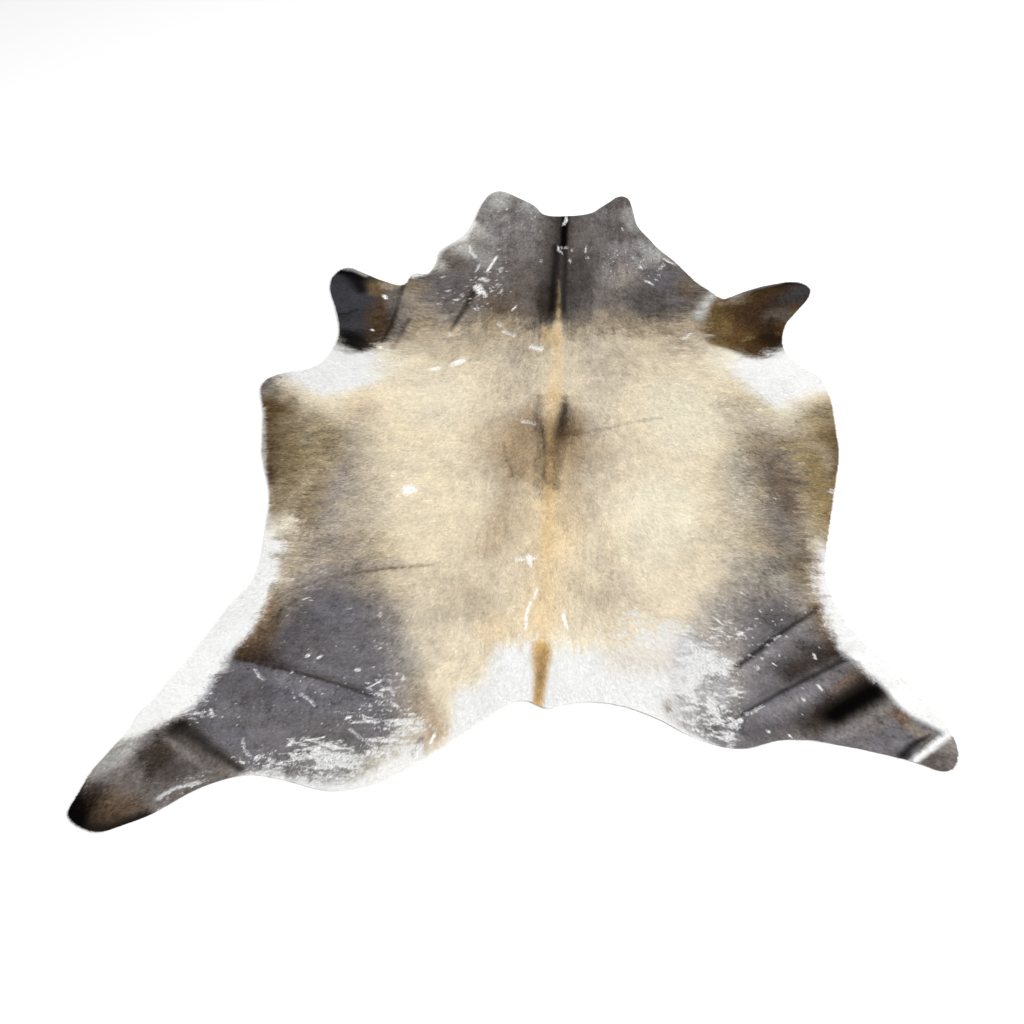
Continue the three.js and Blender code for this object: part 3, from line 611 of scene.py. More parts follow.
RIGHT_HIND = [
    area("right thigh, pale root", "stone", 0.060, [
        (0.33, -0.96), (0.38, -0.84), (0.37, -0.74), (0.38, -0.65), (0.44, -0.57), (0.54, -0.52),
        (0.66, -0.52), (0.72, -0.60), (0.60, -1.05), (0.34, -1.02)], 0.70),
    area("right thigh", "slate", 0.055, [
        (0.40, -0.96), (0.50, -0.86), (0.51, -0.76), (0.50, -0.66), (0.54, -0.58), (0.60, -0.56),
        (0.66, -0.60), (0.72, -0.66), (0.80, -0.70), (0.90, -0.77), (0.95, -0.83), (1.02, -0.92),
        (1.10, -0.96), (1.05, -1.12), (0.50, -1.10), (0.40, -1.04)], 0.85),
    pool("right thigh, violet", "stone", (0.50, -0.55), (0.08, 0.05), 0.40, turn=30),
    pool("right thigh, dark top", "charcoal", (0.615, -0.605), (0.06, 0.030), 0.45, turn=42),
    pool("right thigh, shade", "charcoal", (0.64, -0.72), (0.09, 0.035), 0.35, turn=38),
    streak("right thigh, brown edge", "umber", (0.012, 0.026), [
        (0.70, -0.57), (0.715, -0.64), (0.745, -0.70)], 0.55),
    streak("right thigh, warm edge", "rust", (0.016, 0.016), [
        (0.715, -0.56), (0.740, -0.65), (0.775, -0.72)], 0.55),
    # The fold on the right flank: a painted shade line along its crest and painted light on its lit side
    # below.
    streak("right flank, line of the fold", "black", (0.008, 0.005), [
        (0.500, -0.770), (0.58, -0.697), (0.66, -0.626), (0.715, -0.577)], 0.85, edge=0.7),
    streak("right flank, light of the fold", "stone", (0.012, 0.010), [
        (0.53, -0.768), (0.62, -0.690), (0.69, -0.63)], 0.35),
    # The fold over the right thigh: dark brown hair with painted shade above its crest, a painted shade line
    # along the crest, the thigh's own slate again below it to give that shade a sharp lower edge, and
    # painted light on its lit side.
    streak("right thigh, bark", "bark", (0.030, 0.044), [
        (0.62, -0.785), (0.69, -0.735), (0.775, -0.700)], 0.85),
    streak("right thigh, line of the fold", "black", (0.006, 0.009), [
        (0.50, -0.913), (0.63, -0.828), (0.80, -0.715)], 0.8, edge=0.8),
    area("right thigh, crest", "slate", 0.003, [
        (0.46, -0.945), (0.55, -0.886), (0.65, -0.821), (0.74, -0.762), (0.84, -0.696), (0.90, -0.76),
        (0.78, -0.82), (0.66, -0.92), (0.52, -0.98)], 0.97),
    streak("right thigh, light of the fold", "stone", (0.018, 0.022), [
        (0.52, -0.935), (0.66, -0.852), (0.82, -0.745)], 0.38, edge=0.9),
    # The fold over the right shank: painted shade above its crest with a black core, the slate again below
    # it to give that shade a sharp lower edge, painted light on its lit side, and a painted shade line on a
    # second fold below.
    streak("right shank, shade of the fold", "bark", (0.034, 0.046), [
        (0.664, -0.934), (0.735, -0.864), (0.812, -0.806)], 0.88, edge=0.9),
    streak("right shank, brown of the fold", "rust", (0.010, 0.020), [
        (0.73, -0.822), (0.78, -0.778), (0.83, -0.752)], 0.26),
    streak("right shank, dark of the fold", "black", (0.034, 0.037), [
        (0.714, -0.908), (0.755, -0.876), (0.808, -0.835)], edge=0.7),
    area("right shank, crest", "slate", 0.006, [
        (0.640, -0.990), (0.68, -0.972), (0.74, -0.938), (0.82, -0.890), (0.875, -0.857), (0.95, -0.90),
        (0.96, -0.97), (0.90, -1.06), (0.66, -1.06)], 0.80),
    streak("right shank, light of the fold", "stone", (0.012, 0.016), [
        (0.70, -0.975), (0.80, -0.920), (0.86, -0.886)], 0.60),
    streak("right shank, second fold", "mouse", (0.010, 0.012), [(0.795, -0.930), (0.86, -0.880)], 0.7),
    pool("right shank, rust", "rust", (0.875, -0.895), (0.024, 0.022), 0.65),
    pool("right shank, taupe", "taupe", (0.905, -0.930), (0.03, 0.020), 0.5, turn=-30),
    pool("right hem, slate", "charcoal", (0.575, -0.955), (0.09, 0.035), 0.38, turn=5),
    pool("right shank, brown", "umber", (0.91, -0.965), (0.025, 0.02), 0.4),
    area("right hind toe", "mouse", 0.003, [
        (0.880, -1.034), (0.975, -0.949), (1.10, -0.95), (1.00, -1.14), (0.87, -1.10)]),
    pool("right hind toe, dark", "charcoal", (0.925, -1.022), (0.032, 0.028), 0.50, turn=40),
    pool("right hind toe, pale tip", "silver", (0.978, -0.985), (0.020, 0.022), 0.40),
    # A painted shade line along the crease of the right hind toe.
    streak("right hind toe, dark line", "black", (0.012, 0.003), [
        (0.855, -1.010), (0.880, -0.980), (0.925, -0.945)], 0.9, edge=0.8),
    streak("right hind toe, white band", "white", (0.0075, 0.0085), [
        (0.852, -1.048), (0.927, -0.980), (1.01, -0.910)], edge=0.2),
    area("right thigh, frost, high", "frost", 0.030, [
        (0.39, -0.66), (0.42, -0.60), (0.48, -0.60), (0.54, -0.66), (0.51, -0.73), (0.46, -0.745),
        (0.42, -0.70)], 0.13),
    area("right thigh, white drift", "frost", 0.016, [
        (0.355, -0.87), (0.37, -0.80), (0.375, -0.75), (0.385, -0.70), (0.43, -0.70), (0.44, -0.74),
        (0.50, -0.752), (0.47, -0.788), (0.43, -0.80), (0.415, -0.83), (0.40, -0.865), (0.37, -0.88)]),
    pool("right thigh, middle frost", "frost", (0.455, -0.855), (0.060, 0.045), 0.46, turn=20),
    pool("right thigh, frost, outer", "frost", (0.535, -0.720), (0.05, 0.04), 0.14, turn=40),
    pool("right thigh, low drift", "frost", (0.425, -0.930), (0.055, 0.040), 0.46, turn=10),
    pool("right thigh, hem frost", "frost", (0.42, -0.970), (0.06, 0.025), 0.72, turn=-20),
    pool("right thigh, inner frost", "frost", (0.385, -0.872), (0.035, 0.035), 0.50),
    streak("right thigh, white blot", "frost", (0.006, 0.005), [
        (0.470, -0.945), (0.497, -0.925)], edge=0.8),
    streak("right thigh, white blot, high", "frost", (0.007, 0.005), [
        (0.426, -0.906), (0.442, -0.876)], 0.9, edge=0.8),
    pool("right thigh, dark blot", "charcoal", (0.448, -0.806), (0.026, 0.008), 0.65, turn=28),
    pool("right thigh, dark blot, outer", "charcoal", (0.486, -0.792), (0.016, 0.007), 0.6, turn=15),
    pool("right thigh, dark blot, low", "charcoal", (0.425, -0.957), (0.032, 0.010), 0.6, turn=10),
    pool("right thigh, dark blot, inner", "stone", (0.370, -0.882), (0.013, 0.012), 0.8),
    pool("right rump, brown blot", "taupe", (0.326, -0.902), (0.012, 0.016), 0.8),
    pool("right thigh, specks", "speckle", (0.60, -0.66), (0.12, 0.09), 0.14, turn=40),
    pool("right shank, specks", "speckle", (0.64, -0.86), (0.09, 0.04), 0.10, turn=35),
    area("right belly, white", "white", 0.014, [
        (0.80, -0.36), (0.740, -0.38), (0.722, -0.47), (0.726, -0.55), (0.735, -0.63), (0.748, -0.690),
        (0.766, -0.730), (0.812, -0.792), (0.95, -0.74), (0.88, -0.50)]),
    area("right shank, white", "white", 0.011, [
        (0.81, -0.75), (0.832, -0.806), (0.852, -0.847), (0.888, -0.887), (0.935, -0.922), (0.965, -0.945),
        (1.10, -0.95), (1.05, -0.80), (0.90, -0.70)]),
    streak("right hem, white", "white", (0.020, 0.0005), [
        (0.29, -0.940), (0.37, -0.982), (0.45, -1.014), (0.49, -1.016), (0.53, -1.012)], edge=0.6),
]
SPINE = [
    streak("cream of the withers", "cream", (0.010, 0.056), [
        (0.028, 0.56), (0.03, 0.45), (0.03, 0.20)], 0.9),
    streak("gold of the withers", "gold", (0.005, 0.026), [
        (0.028, 0.62), (0.03, 0.47), (0.03, 0.22)], 0.60),
    pool("gold foot of the mane", "honey", (0.012, 0.485), (0.032, 0.045), 0.42),
    streak("gold of the mane", "khaki", (0.002, 0.009), [
        (0.024, 0.78), (0.026, 0.70), (0.028, 0.56)], 0.55),
    streak("gold between the marks", "honey", (0.026, 0.012), [
        (0.027, 0.20), (0.026, 0.10), (0.025, 0.02)], 0.50, edge=0.9),
    streak("gold below the marks", "honey", (0.009, 0.014), [
        (0.026, 0.02), (0.027, -0.10), (0.030, -0.22)], 0.55),
    pool("spine, brown", "umber", (0.028, 0.000), (0.030, 0.07), 0.45),
    streak("gold of the loin", "gold", (0.016, 0.030), [
        (0.03, -0.18), (0.03, -0.45), (0.03, -0.66)], 0.45),
    streak("honey of the loin", "honey", (0.016, 0.012), [
        (0.028, -0.18), (0.030, -0.30), (0.031, -0.42)], 0.28),
    streak("left mark, soft", "umber", (0.012, 0.020), [
        (-0.014, 0.20), (-0.014, 0.09), (0.000, -0.02), (0.010, -0.16)], 0.50),
    streak("left mark", "bark", (0.006, 0.004), [
        (-0.006, 0.09), (0.006, 0.02), (0.011, -0.06), (0.013, -0.15)], 0.38),
    streak("right mark, soft", "umber", (0.012, 0.030), [
        (0.060, 0.20), (0.066, 0.11), (0.060, 0.02)], 0.6),
    streak("right mark", "bark", (0.011, 0.015), [(0.058, 0.165), (0.055, 0.10), (0.050, 0.03)], 0.80),
    streak("right mark, low", "umber", (0.020, 0.008), [
        (0.050, 0.00), (0.046, -0.08), (0.046, -0.18)], 0.60),
    pool("right mark, wedge", "umber", (0.085, 0.045), (0.035, 0.018), 0.6, turn=22),
    # A painted shade line along the crease across the back.
    streak("crease across the back", "umber", (0.004, 0.003), [
        (0.05, 0.022), (0.12, 0.050), (0.22, 0.090), (0.34, 0.128)], 0.42),
    # A painted shade line along the crease of the left loin.
    streak("left scratch", "bark", (0.003, 0.0025), [
        (-0.108, 0.000), (-0.100, -0.055), (-0.080, -0.105), (-0.074, -0.142)], 0.5, edge=0.9),
    streak("tail, root", "honey", (0.006, 0.021), [(0.030, -0.695), (0.030, -0.765)], 0.60),
    streak("tail", "honey", (0.022, 0.011), [
        (0.030, -0.74), (0.031, -0.83), (0.030, -0.93)], 0.95, edge=0.6),
    streak("tail, dark middle", "rust", (0.012, 0.007), [
        (0.031, -0.75), (0.031, -0.83), (0.030, -0.905)], 0.50),
]
EDGES = [
    streak("left neck rim", "white", (0.012, 0.014), [
        (-0.272, 1.09), (-0.300, 1.00), (-0.345, 0.968), (-0.378, 0.92), (-0.392, 0.85),
        (-0.408, 0.80)], 0.9, edge=0.8),
    streak("left flank rim", "white", (0.0035, 0.004), [
        (-0.807, 0.10), (-0.787, 0.00), (-0.765, -0.12), (-0.729, -0.25), (-0.708, -0.36)], 0.7, edge=0.6),
    streak("right neck rim", "silver", (0.004, 0.004), [(0.37, 0.92), (0.40, 0.885)], 0.8, edge=0.7),
    pool("right neck, pale edge", "silver", (0.315, 0.995), (0.045, 0.055), 0.40, turn=20),
    streak("left fore leg, pale rim", "silver", (0.008, 0.006), [
        (-0.60, 0.772), (-0.645, 0.798), (-0.675, 0.803)], 0.6),
    pool("left armpit, pale", "white", (-0.630, 0.385), (0.030, 0.018), 0.45),
    pool("right armpit, pale", "white", (0.712, 0.455), (0.030, 0.018), 0.55),
    pool("right fore leg, brown foot", "umber", (0.637, 0.458), (0.024, 0.020), 0.45),
    pool("right fore leg, grey", "mouse", (0.715, 0.635), (0.050, 0.035), 0.35),
    pool("right fore leg, dark toe", "bark", (0.690, 0.738), (0.065, 0.028), 0.70, turn=32),
    streak("right fore leg, pale front", "stone", (0.012, 0.010), [
        (0.565, 0.712), (0.640, 0.770), (0.725, 0.808)], 0.60),
    pool("left fore leg, dull side", "mouse", (-0.445, 0.635), (0.030, 0.06), 0.50),
]
# White scars and flecks: name, half width, path.
FLECKS = [
    ("mane tuft", 0.0048, [(0.035, 1.155), (0.038, 1.125), (0.030, 1.105)]),
    ("mane hook", 0.003, [(0.014, 0.970), (0.018, 0.948), (0.030, 0.930)]),
    ("mane bar", 0.0021, [(0.024, 0.965), (0.046, 0.966)]),
    ("mane dot", 0.0029, [(0.058, 0.954), (0.062, 0.952)]),
    ("right mane dash", 0.0024, [(0.107, 0.972), (0.105, 0.945)]),
    ("right mane dot", 0.0029, [(0.108, 0.911), (0.116, 0.911)]),
    ("right mane bar", 0.0024, [(0.052, 0.898), (0.058, 0.880)]),
    ("left mane dot", 0.0035, [(-0.040, 0.882), (-0.038, 0.881)]),
    ("right neck dash", 0.0024, [(0.225, 1.090), (0.230, 1.080)]),
    ("right neck scar", 0.0042, [(0.302, 0.790), (0.312, 0.786), (0.322, 0.776)]),
    ("right neck streak", 0.0029, [(0.36, 0.92), (0.39, 0.89)]),
    ("right neck spot", 0.0029, [(0.285, 0.878), (0.292, 0.858)]),
    ("right edge spot", 0.0029, [(0.362, 0.888), (0.345, 0.86)]),
    ("left neck curve", 0.0041, [(-0.278, 0.955), (-0.270, 0.92), (-0.255, 0.895)]),
    ("left neck long scar", 0.0046, [(-0.185, 0.900), (-0.195, 0.865), (-0.210, 0.815)]),
    ("left neck scar", 0.0029, [(-0.240, 0.850), (-0.245, 0.815)]),
    ("left neck tick", 0.0029, [(-0.172, 0.835), (-0.163, 0.812)]),
    ("left neck blob", 0.012, [(-0.232, 0.732), (-0.222, 0.702)]),
    ("left neck blob, side", 0.0054, [(-0.238, 0.715), (-0.212, 0.700), (-0.205, 0.680)]),
    ("left neck blob, top", 0.0047, [(-0.225, 0.775), (-0.205, 0.762)]),
    ("left neck dots", 0.0029, [(-0.170, 0.745), (-0.165, 0.735)]),
    ("left neck dots, low", 0.0029, [(-0.158, 0.715), (-0.156, 0.708)]),
    ("left lobe dot", 0.0035, [(-0.353, 0.778), (-0.352, 0.776)]),
    ("left lobe dot, low", 0.0035, [(-0.350, 0.634), (-0.348, 0.630)]),
    ("left lobe fleck", 0.0029, [(-0.330, 0.706), (-0.320, 0.708)]),
    ("left crease fleck", 0.0041, [(-0.294, 0.660), (-0.288, 0.656)]),
    ("left crease fleck, high", 0.0024, [(-0.282, 0.690), (-0.274, 0.672)]),
    ("left neck dash", 0.0035, [(-0.232, 0.618), (-0.226, 0.610)]),
    ("left neck tick, low", 0.0029, [(-0.118, 0.612), (-0.106, 0.632)]),
    ("left withers scar", 0.0035, [(-0.158, 0.545), (-0.150, 0.530)]),
    ("left withers long scar", 0.0042, [(-0.140, 0.505), (-0.120, 0.492), (-0.102, 0.485)]),
    ("withers smile", 0.0068, [(-0.050, 0.435), (-0.035, 0.425), (-0.018, 0.424)]),
    ("left shoulder patch", 0.01, [(-0.276, 0.340), (-0.252, 0.356)]),
    ("left shoulder patch, low", 0.007, [(-0.338, 0.308), (-0.318, 0.316)]),
    ("left crease foot", 0.0024, [(-0.300, 0.480), (-0.302, 0.465)]),
    ("right withers dot", 0.0029, [(0.232, 0.530), (0.236, 0.530)]),
    ("right withers tick", 0.0029, [(0.432, 0.525), (0.420, 0.505), (0.405, 0.498)]),
    ("left fore leg spot", 0.008, [(-0.525, 0.660), (-0.520, 0.652)]),
    ("left fore leg dot", 0.0035, [(-0.542, 0.487), (-0.538, 0.487)]),
    ("left fore leg foot", 0.0053, [(-0.508, 0.405), (-0.504, 0.402)]),
    ("back spot", 0.016, [(-0.354, -0.206), (-0.348, -0.208)]),
    ("back mark", 0.0029, [(-0.062, 0.090), (-0.020, 0.080)]),
    ("loin star", 0.0062, [(-0.016, -0.438), (-0.012, -0.466)]),
    ("loin star, arm", 0.0036, [(-0.045, -0.452), (0.004, -0.440)]),
    ("loin dash", 0.0034, [(0.010, -0.545), (0.004, -0.575)]),
    ("loin dash, low", 0.0034, [(-0.004, -0.590), (-0.012, -0.640), (-0.010, -0.680)]),
    ("right loin dash", 0.0042, [(0.080, -0.630), (0.090, -0.670)]),
    ("left thigh dot", 0.0024, [(-0.568, -0.614), (-0.564, -0.612)]),
    ("left thigh dot, low", 0.0035, [(-0.535, -0.795), (-0.530, -0.793)]),
    ("left thigh dot, inner", 0.0035, [(-0.506, -0.798), (-0.502, -0.796)]),
    ("left thigh dot, high", 0.0029, [(-0.378, -0.655), (-0.374, -0.656)]),
    ("left thigh dot, right", 0.0035, [(-0.410, -0.830), (-0.402, -0.832)]),
    ("left thigh hook", 0.0018, [(-0.372, -0.880), (-0.356, -0.868), (-0.344, -0.860)]),
    ("left thigh hook, low", 0.0022, [(-0.342, -0.885), (-0.322, -0.882), (-0.312, -0.900)]),
    ("left thigh tick", 0.0029, [(-0.298, -0.845), (-0.294, -0.855)]),
    ("left fold tick", 0.0013, [(-0.648, -0.848), (-0.636, -0.866), (-0.620, -0.876)]),
    ("left fold dash", 0.0013, [(-0.530, -0.915), (-0.508, -0.926), (-0.490, -0.942)]),
    ("left fold dots", 0.0029, [(-0.415, -0.972), (-0.405, -0.968)]),
    ("left hem line", 0.0014, [(-0.402, -1.000), (-0.365, -1.030), (-0.318, -1.066)]),
    ("left hem streak", 0.0014, [(-0.500, -1.040), (-0.470, -1.032), (-0.455, -1.026)]),
    ("left shank scar", 0.0016, [(-0.640, -1.045), (-0.632, -1.075), (-0.612, -1.095)]),
    ("left edge fleck", 0.0029, [(-0.730, -0.965), (-0.722, -0.985)]),
    ("left hem curl", 0.0035, [(-0.206, -1.010), (-0.214, -1.030)]),
    ("right thigh line", 0.0014, [(0.510, -0.912), (0.530, -0.903), (0.552, -0.886)]),
    ("right thigh dot", 0.0024, [(0.686, -0.722), (0.688, -0.735)]),
    ("right fold dot", 0.0024, [(0.684, -0.822), (0.690, -0.830)]),
    ("right fold dot, low", 0.0029, [(0.648, -0.863), (0.650, -0.865)]),
    ("right fold tick", 0.0014, [(0.585, -0.756), (0.592, -0.762)]),
    ("right hem dot", 0.0029, [(0.558, -0.957), (0.562, -0.957)]),
    ("right hem fleck", 0.0016, [(0.605, -0.965), (0.612, -0.975)]),
    ("right belly dot", 0.0024, [(0.523, -0.535), (0.525, -0.535)]),
    ("right edge fleck", 0.0035, [(0.785, -0.157), (0.795, -0.150)]),
    ("right thigh flash", 0.0015, [(0.452, -0.620), (0.468, -0.638)]),
    ("right thigh flash, low", 0.0013, [(0.590, -0.690), (0.608, -0.676)]),
    ("right flank dot", 0.0024, [(0.632, -0.187), (0.635, -0.188)]),
]
COAT = BACK + NECK + SHOULDERS + FORE_LEGS + FLANKS + RUMP + LEFT_HIND + RIGHT_HIND + SPINE + EDGES
COAT += [streak(name, "scar", (half, half), path, edge=FLECK_EDGE) for name, half, path in FLECKS]

# How much the hairs of one tint differ from each other.
GRAIN = {
    "cream": 0.055, "ivory": 0.04, "oat": 0.07, "gold": 0.06, "honey": 0.10, "sand": 0.09, "fawn": 0.12,
    "tan": 0.11, "clay": 0.11, "khaki": 0.19, "taupe": 0.20, "silver": 0.16, "stone": 0.17, "mouse": 0.18,
    "slate": 0.15, "charcoal": 0.16, "ink": 0.13, "olive": 0.21, "umber": 0.22, "rust": 0.20, "bark": 0.22,
    "black": 0.12, "white": 0.015,
}


def tint(name, description, rgb):
    """One colour of the coat, as it looks in even light, from 0 to 255."""
    return FloatVectorProperty(
        name=name, description=description, subtype="COLOR_GAMMA", size=3, min=0, max=1,
        default=[value / 255 for value in rgb],
    )


def metres(name, description, default):
    """A length."""
    return FloatProperty(name=name, description=description, default=default, unit="LENGTH")


def degrees(name, description, default):
    """An angle, given in degrees."""
    return FloatProperty(name=name, description=description, default=math.radians(default), subtype="ANGLE")


def watts(name, description, default):
    """The power of a light."""
    return FloatProperty(name=name, description=description, default=default, unit="POWER")


class CoatTints(bpy.types.PropertyGroup):
    cream: tint("Cream", "Ground of the back", (236, 224, 199))
    ivory: tint("Ivory", "Palest parts of the back", (239, 232, 212))
    oat: tint("Oat", "Dull parts of the back", (222, 209, 186))
    gold: tint("Gold", "Along the spine and over the loin", (236, 211, 166))
    honey: tint("Honey", "Tail and middle of the back", (214, 180, 118))
    sand: tint("Sand", "Between the shoulders", (210, 198, 178))
    fawn: tint("Fawn", "Edges of the neck and rump", (184, 169, 147))
    tan: tint("Tan", "Around the marks of the spine", (166, 142, 110))
    clay: tint("Clay", "Both sides of the spine", (176, 151, 125))
    khaki: tint("Khaki", "Streaks of the flanks", (158, 140, 103))
    taupe: tint("Taupe", "Flanks", (166, 152, 130))
    silver: tint("Silver", "Pale bands of the neck", (193, 192, 188))
    # Stone is the grey of the flanks and legs, and also painted light on the folds' lit sides and painted
    # shade along a crease.
    stone: tint("Stone", "Grey of the flanks and legs, and painted light and shade along the folds", (148, 142, 142))
    mouse: tint("Mouse", "Neck and shanks", (120, 113, 109))
    slate: tint("Slate", "Thighs", (110, 107, 112))
    charcoal: tint("Charcoal", "Mane and shaded thighs", (65, 58, 55))
    ink: tint("Ink", "Fore legs", (60, 59, 63))
    olive: tint("Olive", "Flanks and legs, outer parts", (114, 95, 60))
    umber: tint("Umber", "Brown of the legs and edges", (86, 64, 38))
    rust: tint("Rust", "Warm brown spots", (128, 90, 54))
    # Bark is the dark brown of the legs and marks, and also painted shade in the folds and creases.
    bark: tint("Bark", "Dark brown of the legs, and painted shade in the folds and creases", (47, 34, 23))
    black: tint("Black", "Mane stripe, toes and shade of the folds", (5, 3, 3))
    white: tint("White", "White fur", (237, 237, 236))
    fleck: tint("Fleck", "Scars and white flecks", (253, 253, 252))
    suede: tint("Suede", "Flesh side of the skin", (224, 216, 202))


class HideSettings(bpy.types.PropertyGroup):
    skin: metres("Skin", "Thickness of the tanned skin", 0.0025)
    mesh_size: metres("Mesh Size", "Spacing of the sheet's mesh", 0.0093)
    waves: metres("Waves", "Height of the soft waves of the sheet", 0.0022)
    edge_lift: metres("Edge Lift", "How far the edge curls off the floor", 0.0025)
    cut: metres("Cut", "Unevenness of the cut edge", 0.0003)


class CoatSettings(bpy.types.PropertyGroup):
    hairs: IntProperty(
        name="Hairs", description="Number of locks of hair in the whole coat", default=780000, min=1000)
    length: metres("Length", "Length of a lock", 0.0115)
    width: metres("Width", "Width of a lock at its root", 0.0014)
    lean: degrees("Lean", "Angle of a lock above the skin", 7)
    stray: degrees("Stray", "How far a lock strays from the lay of the hair", 11)
    drift: metres("Drift", "How far the edges of a mark mix along the hair", 0.010)
    seed: IntProperty(name="Seed", description="Seed of the coat's randomness", default=7)


class StudioSettings(bpy.types.PropertyGroup):
    target: FloatVectorProperty(
        name="Target", description="Spot on the floor that the camera looks at",
        default=(-0.0681, -0.2740, 0.0), unit="LENGTH")
    azimuth: degrees("Azimuth", "Camera's turn about the rug, from behind the tail", 3.2)
    elevation: degrees("Elevation", "Camera's height above the horizon", 45)
    distance: metres("Distance", "Camera's distance from the target", 3.632)
    lens: FloatProperty(name="Lens", description="Focal length in millimetres", default=47.88)
    key: watts("Key", "Power of the large light on the right", 416)
    top: watts("Top", "Power of the soft light overhead", 166)
    sky: FloatProperty(name="Sky", description="Strength of the white surroundings", default=0.468)


def smooth(t):
    """A soft step from 0 to 1."""
    t = np.clip(t, 0.0, 1.0)
    return t * t * (3.0 - 2.0 * t)


def wander(points, scale, seed):
    """Smooth noise from -1 to 1 over the floor plane, with features of about the given size."""
    table = np.random.RandomState(seed).uniform(-1, 1, (256, 256)).astype(np.float32)
    place = points / scale + 512.0
    cell = np.floor(place).astype(np.int32)
    part = place - cell
    part = part * part * (3 - 2 * part)
    x, y = cell[:, 0] % 256, cell[:, 1] % 256
    x1, y1 = (x + 1) % 256, (y + 1) % 256
    low = table[x, y] * (1 - part[:, 0]) + table[x1, y] * part[:, 0]
    high = table[x, y1] * (1 - part[:, 0]) + table[x1, y1] * part[:, 0]
    return low * (1 - part[:, 1]) + high * part[:, 1]


def noise(name, points, shift=0):
    """One of the rug's noises at each point. The shift is added to the squeezed plane."""
    size, squeeze, seed = NOISES[name]
    return wander(points * np.float32(squeeze) + shift, size, seed)


def along_path(points, path):
    """Each point's distance from a path, and how far along the path its nearest place is, from 0 to 1."""
    path = np.asarray(path, np.float32)
    steps = np.diff(path, axis=0)
    lengths = np.linalg.norm(steps, axis=1)
    starts = np.concatenate([[0.0], np.cumsum(lengths)])
    best = np.full(len(points), np.inf, np.float32)
    share = np.zeros(len(points), np.float32)
    for corner, step, length, start in zip(path, steps, lengths, starts):
        off = points - corner
        t = np.clip((off @ step) / max(length * length, TINY * TINY), 0, 1)
        gap = np.hypot(off[:, 0] - t * step[0], off[:, 1] - t * step[1])
        near = gap < best
        best[near] = gap[near]
        share[near] = ((start + t * length) / starts[-1])[near]
    return best, share


def within(points, corners):
    """True for each point inside a closed outline."""
    corners = np.asarray(corners, np.float32)
    hit = np.zeros(len(points), bool)
    for (ax, ay), (bx, by) in zip(corners, np.roll(corners, -1, axis=0)):
        if ay == by:
            continue
        crosses = (ay > points[:, 1]) != (by > points[:, 1])
        hit ^= crosses & (points[:, 0] < ax + (points[:, 1] - ay) * (bx - ax) / (by - ay))
    return hit


def mark_weight(mark, points):
    """How strongly a mark covers each point, from 0 to 1."""
    if mark["kind"] == "pool":
        turn = math.radians(mark["turn"])
        off = points - np.float32(mark["at"])
        u = (off[:, 0] * math.cos(turn) + off[:, 1] * math.sin(turn)) / mark["reach"][0]
        v = (off[:, 1] * math.cos(turn) - off[:, 0] * math.sin(turn)) / mark["reach"][1]
        return mark["strength"] * smooth(POOL_END - np.hypot(u, v))
    if mark["kind"] == "area":
        gap, _ = along_path(points, [*mark["path"], mark["path"][0]])
        depth = np.where(within(points, mark["path"]), gap, -gap)
        return mark["strength"] * smooth(0.5 + depth / (2 * mark["edge"]))
    gap, share = along_path(points, mark["path"])
    half = mark["widths"][0] + (mark["widths"][1] - mark["widths"][0]) * share
    return mark["strength"] * smooth(0.5 - (gap - half) / (2 * mark["edge"] * half + TINY))


def mark_reach(mark):
    """The lowest and highest corner of the floor that a mark can touch."""
    if mark["kind"] == "pool":
        spots, margin = np.float32([mark["at"]]), POOL_END * max(mark["reach"])
    elif mark["kind"] == "area":
        spots, margin = np.float32(mark["path"]), mark["edge"]
    else:
        spots, margin = np.float32(mark["path"]), 2 * max(mark["widths"])
    return spots.min(axis=0) - margin, spots.max(axis=0) + margin


def coat_at(points, crisp, tints):
    """The look of the coat at each point: its colour, its grain and its shares of white hairs, specks and
    scars. Wide marks read points, and streaks and sharp edges read crisp, which strays less."""
    look = np.zeros((len(points), GRAIN_COLUMN + 1 + len(WHITE_HAIRS)), np.float32)
    look[:, : GRAIN_COLUMN + 1] = [*tints["cream"], GRAIN["cream"]]
    for mark in COAT:
        sharp = mark["kind"] == "streak" or mark.get("edge", 1) < SHARP_EDGE
        places = crisp if sharp else points
        low, high = mark_reach(mark)
        near = np.flatnonzero(((places > low) & (places < high)).all(axis=1))
        weight = mark_weight(mark, places[near])[:, None]
        if mark["tint"] in WHITE_HAIRS:
            column = WHITE_HAIRS[mark["tint"]]
            look[near, column] += weight[:, 0] * (1 - look[near, column])
        else:
            goal = np.float32([*tints[mark["tint"]], GRAIN[mark["tint"]]] + [0.0] * len(WHITE_HAIRS))
            look[near] += weight * (goal - look[near])
    return look


def root_shade(grain, depth):
    """How much darker the coat is down at the skin: painted shade under the hair. White hair hardly darkens.
    """
    return 1 - depth * np.clip(grain / DEEP_GRAIN, LEAST_DEPTH, 1)


def stray_of_locks(root, heading, strand, drift_length, chance):
    """How far each lock strays from its place: in slow warps of the floor, and in a drift along its hair."""
    warp = np.column_stack([noise("broad warp across", root), noise("broad warp along", root)]) * BROAD_WARP
    warp += np.column_stack([noise("fine warp across", root), noise("fine warp along", root)]) * FINE_WARP
    steps = drift_length * chance.normal(0, 1, len(root)) + STRAND_DRIFT * drift_length * strand
    drift = steps[:, None] * heading
    drift += chance.normal(0, SCATTER, (len(root), 2))
    return warp, drift


def white_locks(root, drift, look, chance):
    """True for each white lock: those of the frost, which lie in streaks, and those of the specks."""
    flurry = noise("frost streaks", root, FROST_STREAK_DRIFT * drift)
    flurry = flurry + FROST_DRIFT_SHARE * noise("frost drifts", root)
    flurry += chance.normal(0, FROST_SCATTER, len(root))
    frosted = np.argsort(np.argsort(flurry)) > len(root) * (1 - look[:, FROST])
    return frosted | (noise("specks", root, SPECK_DRIFT * drift) > 1 - SPECK_SHARE * look[:, SPECKLE])


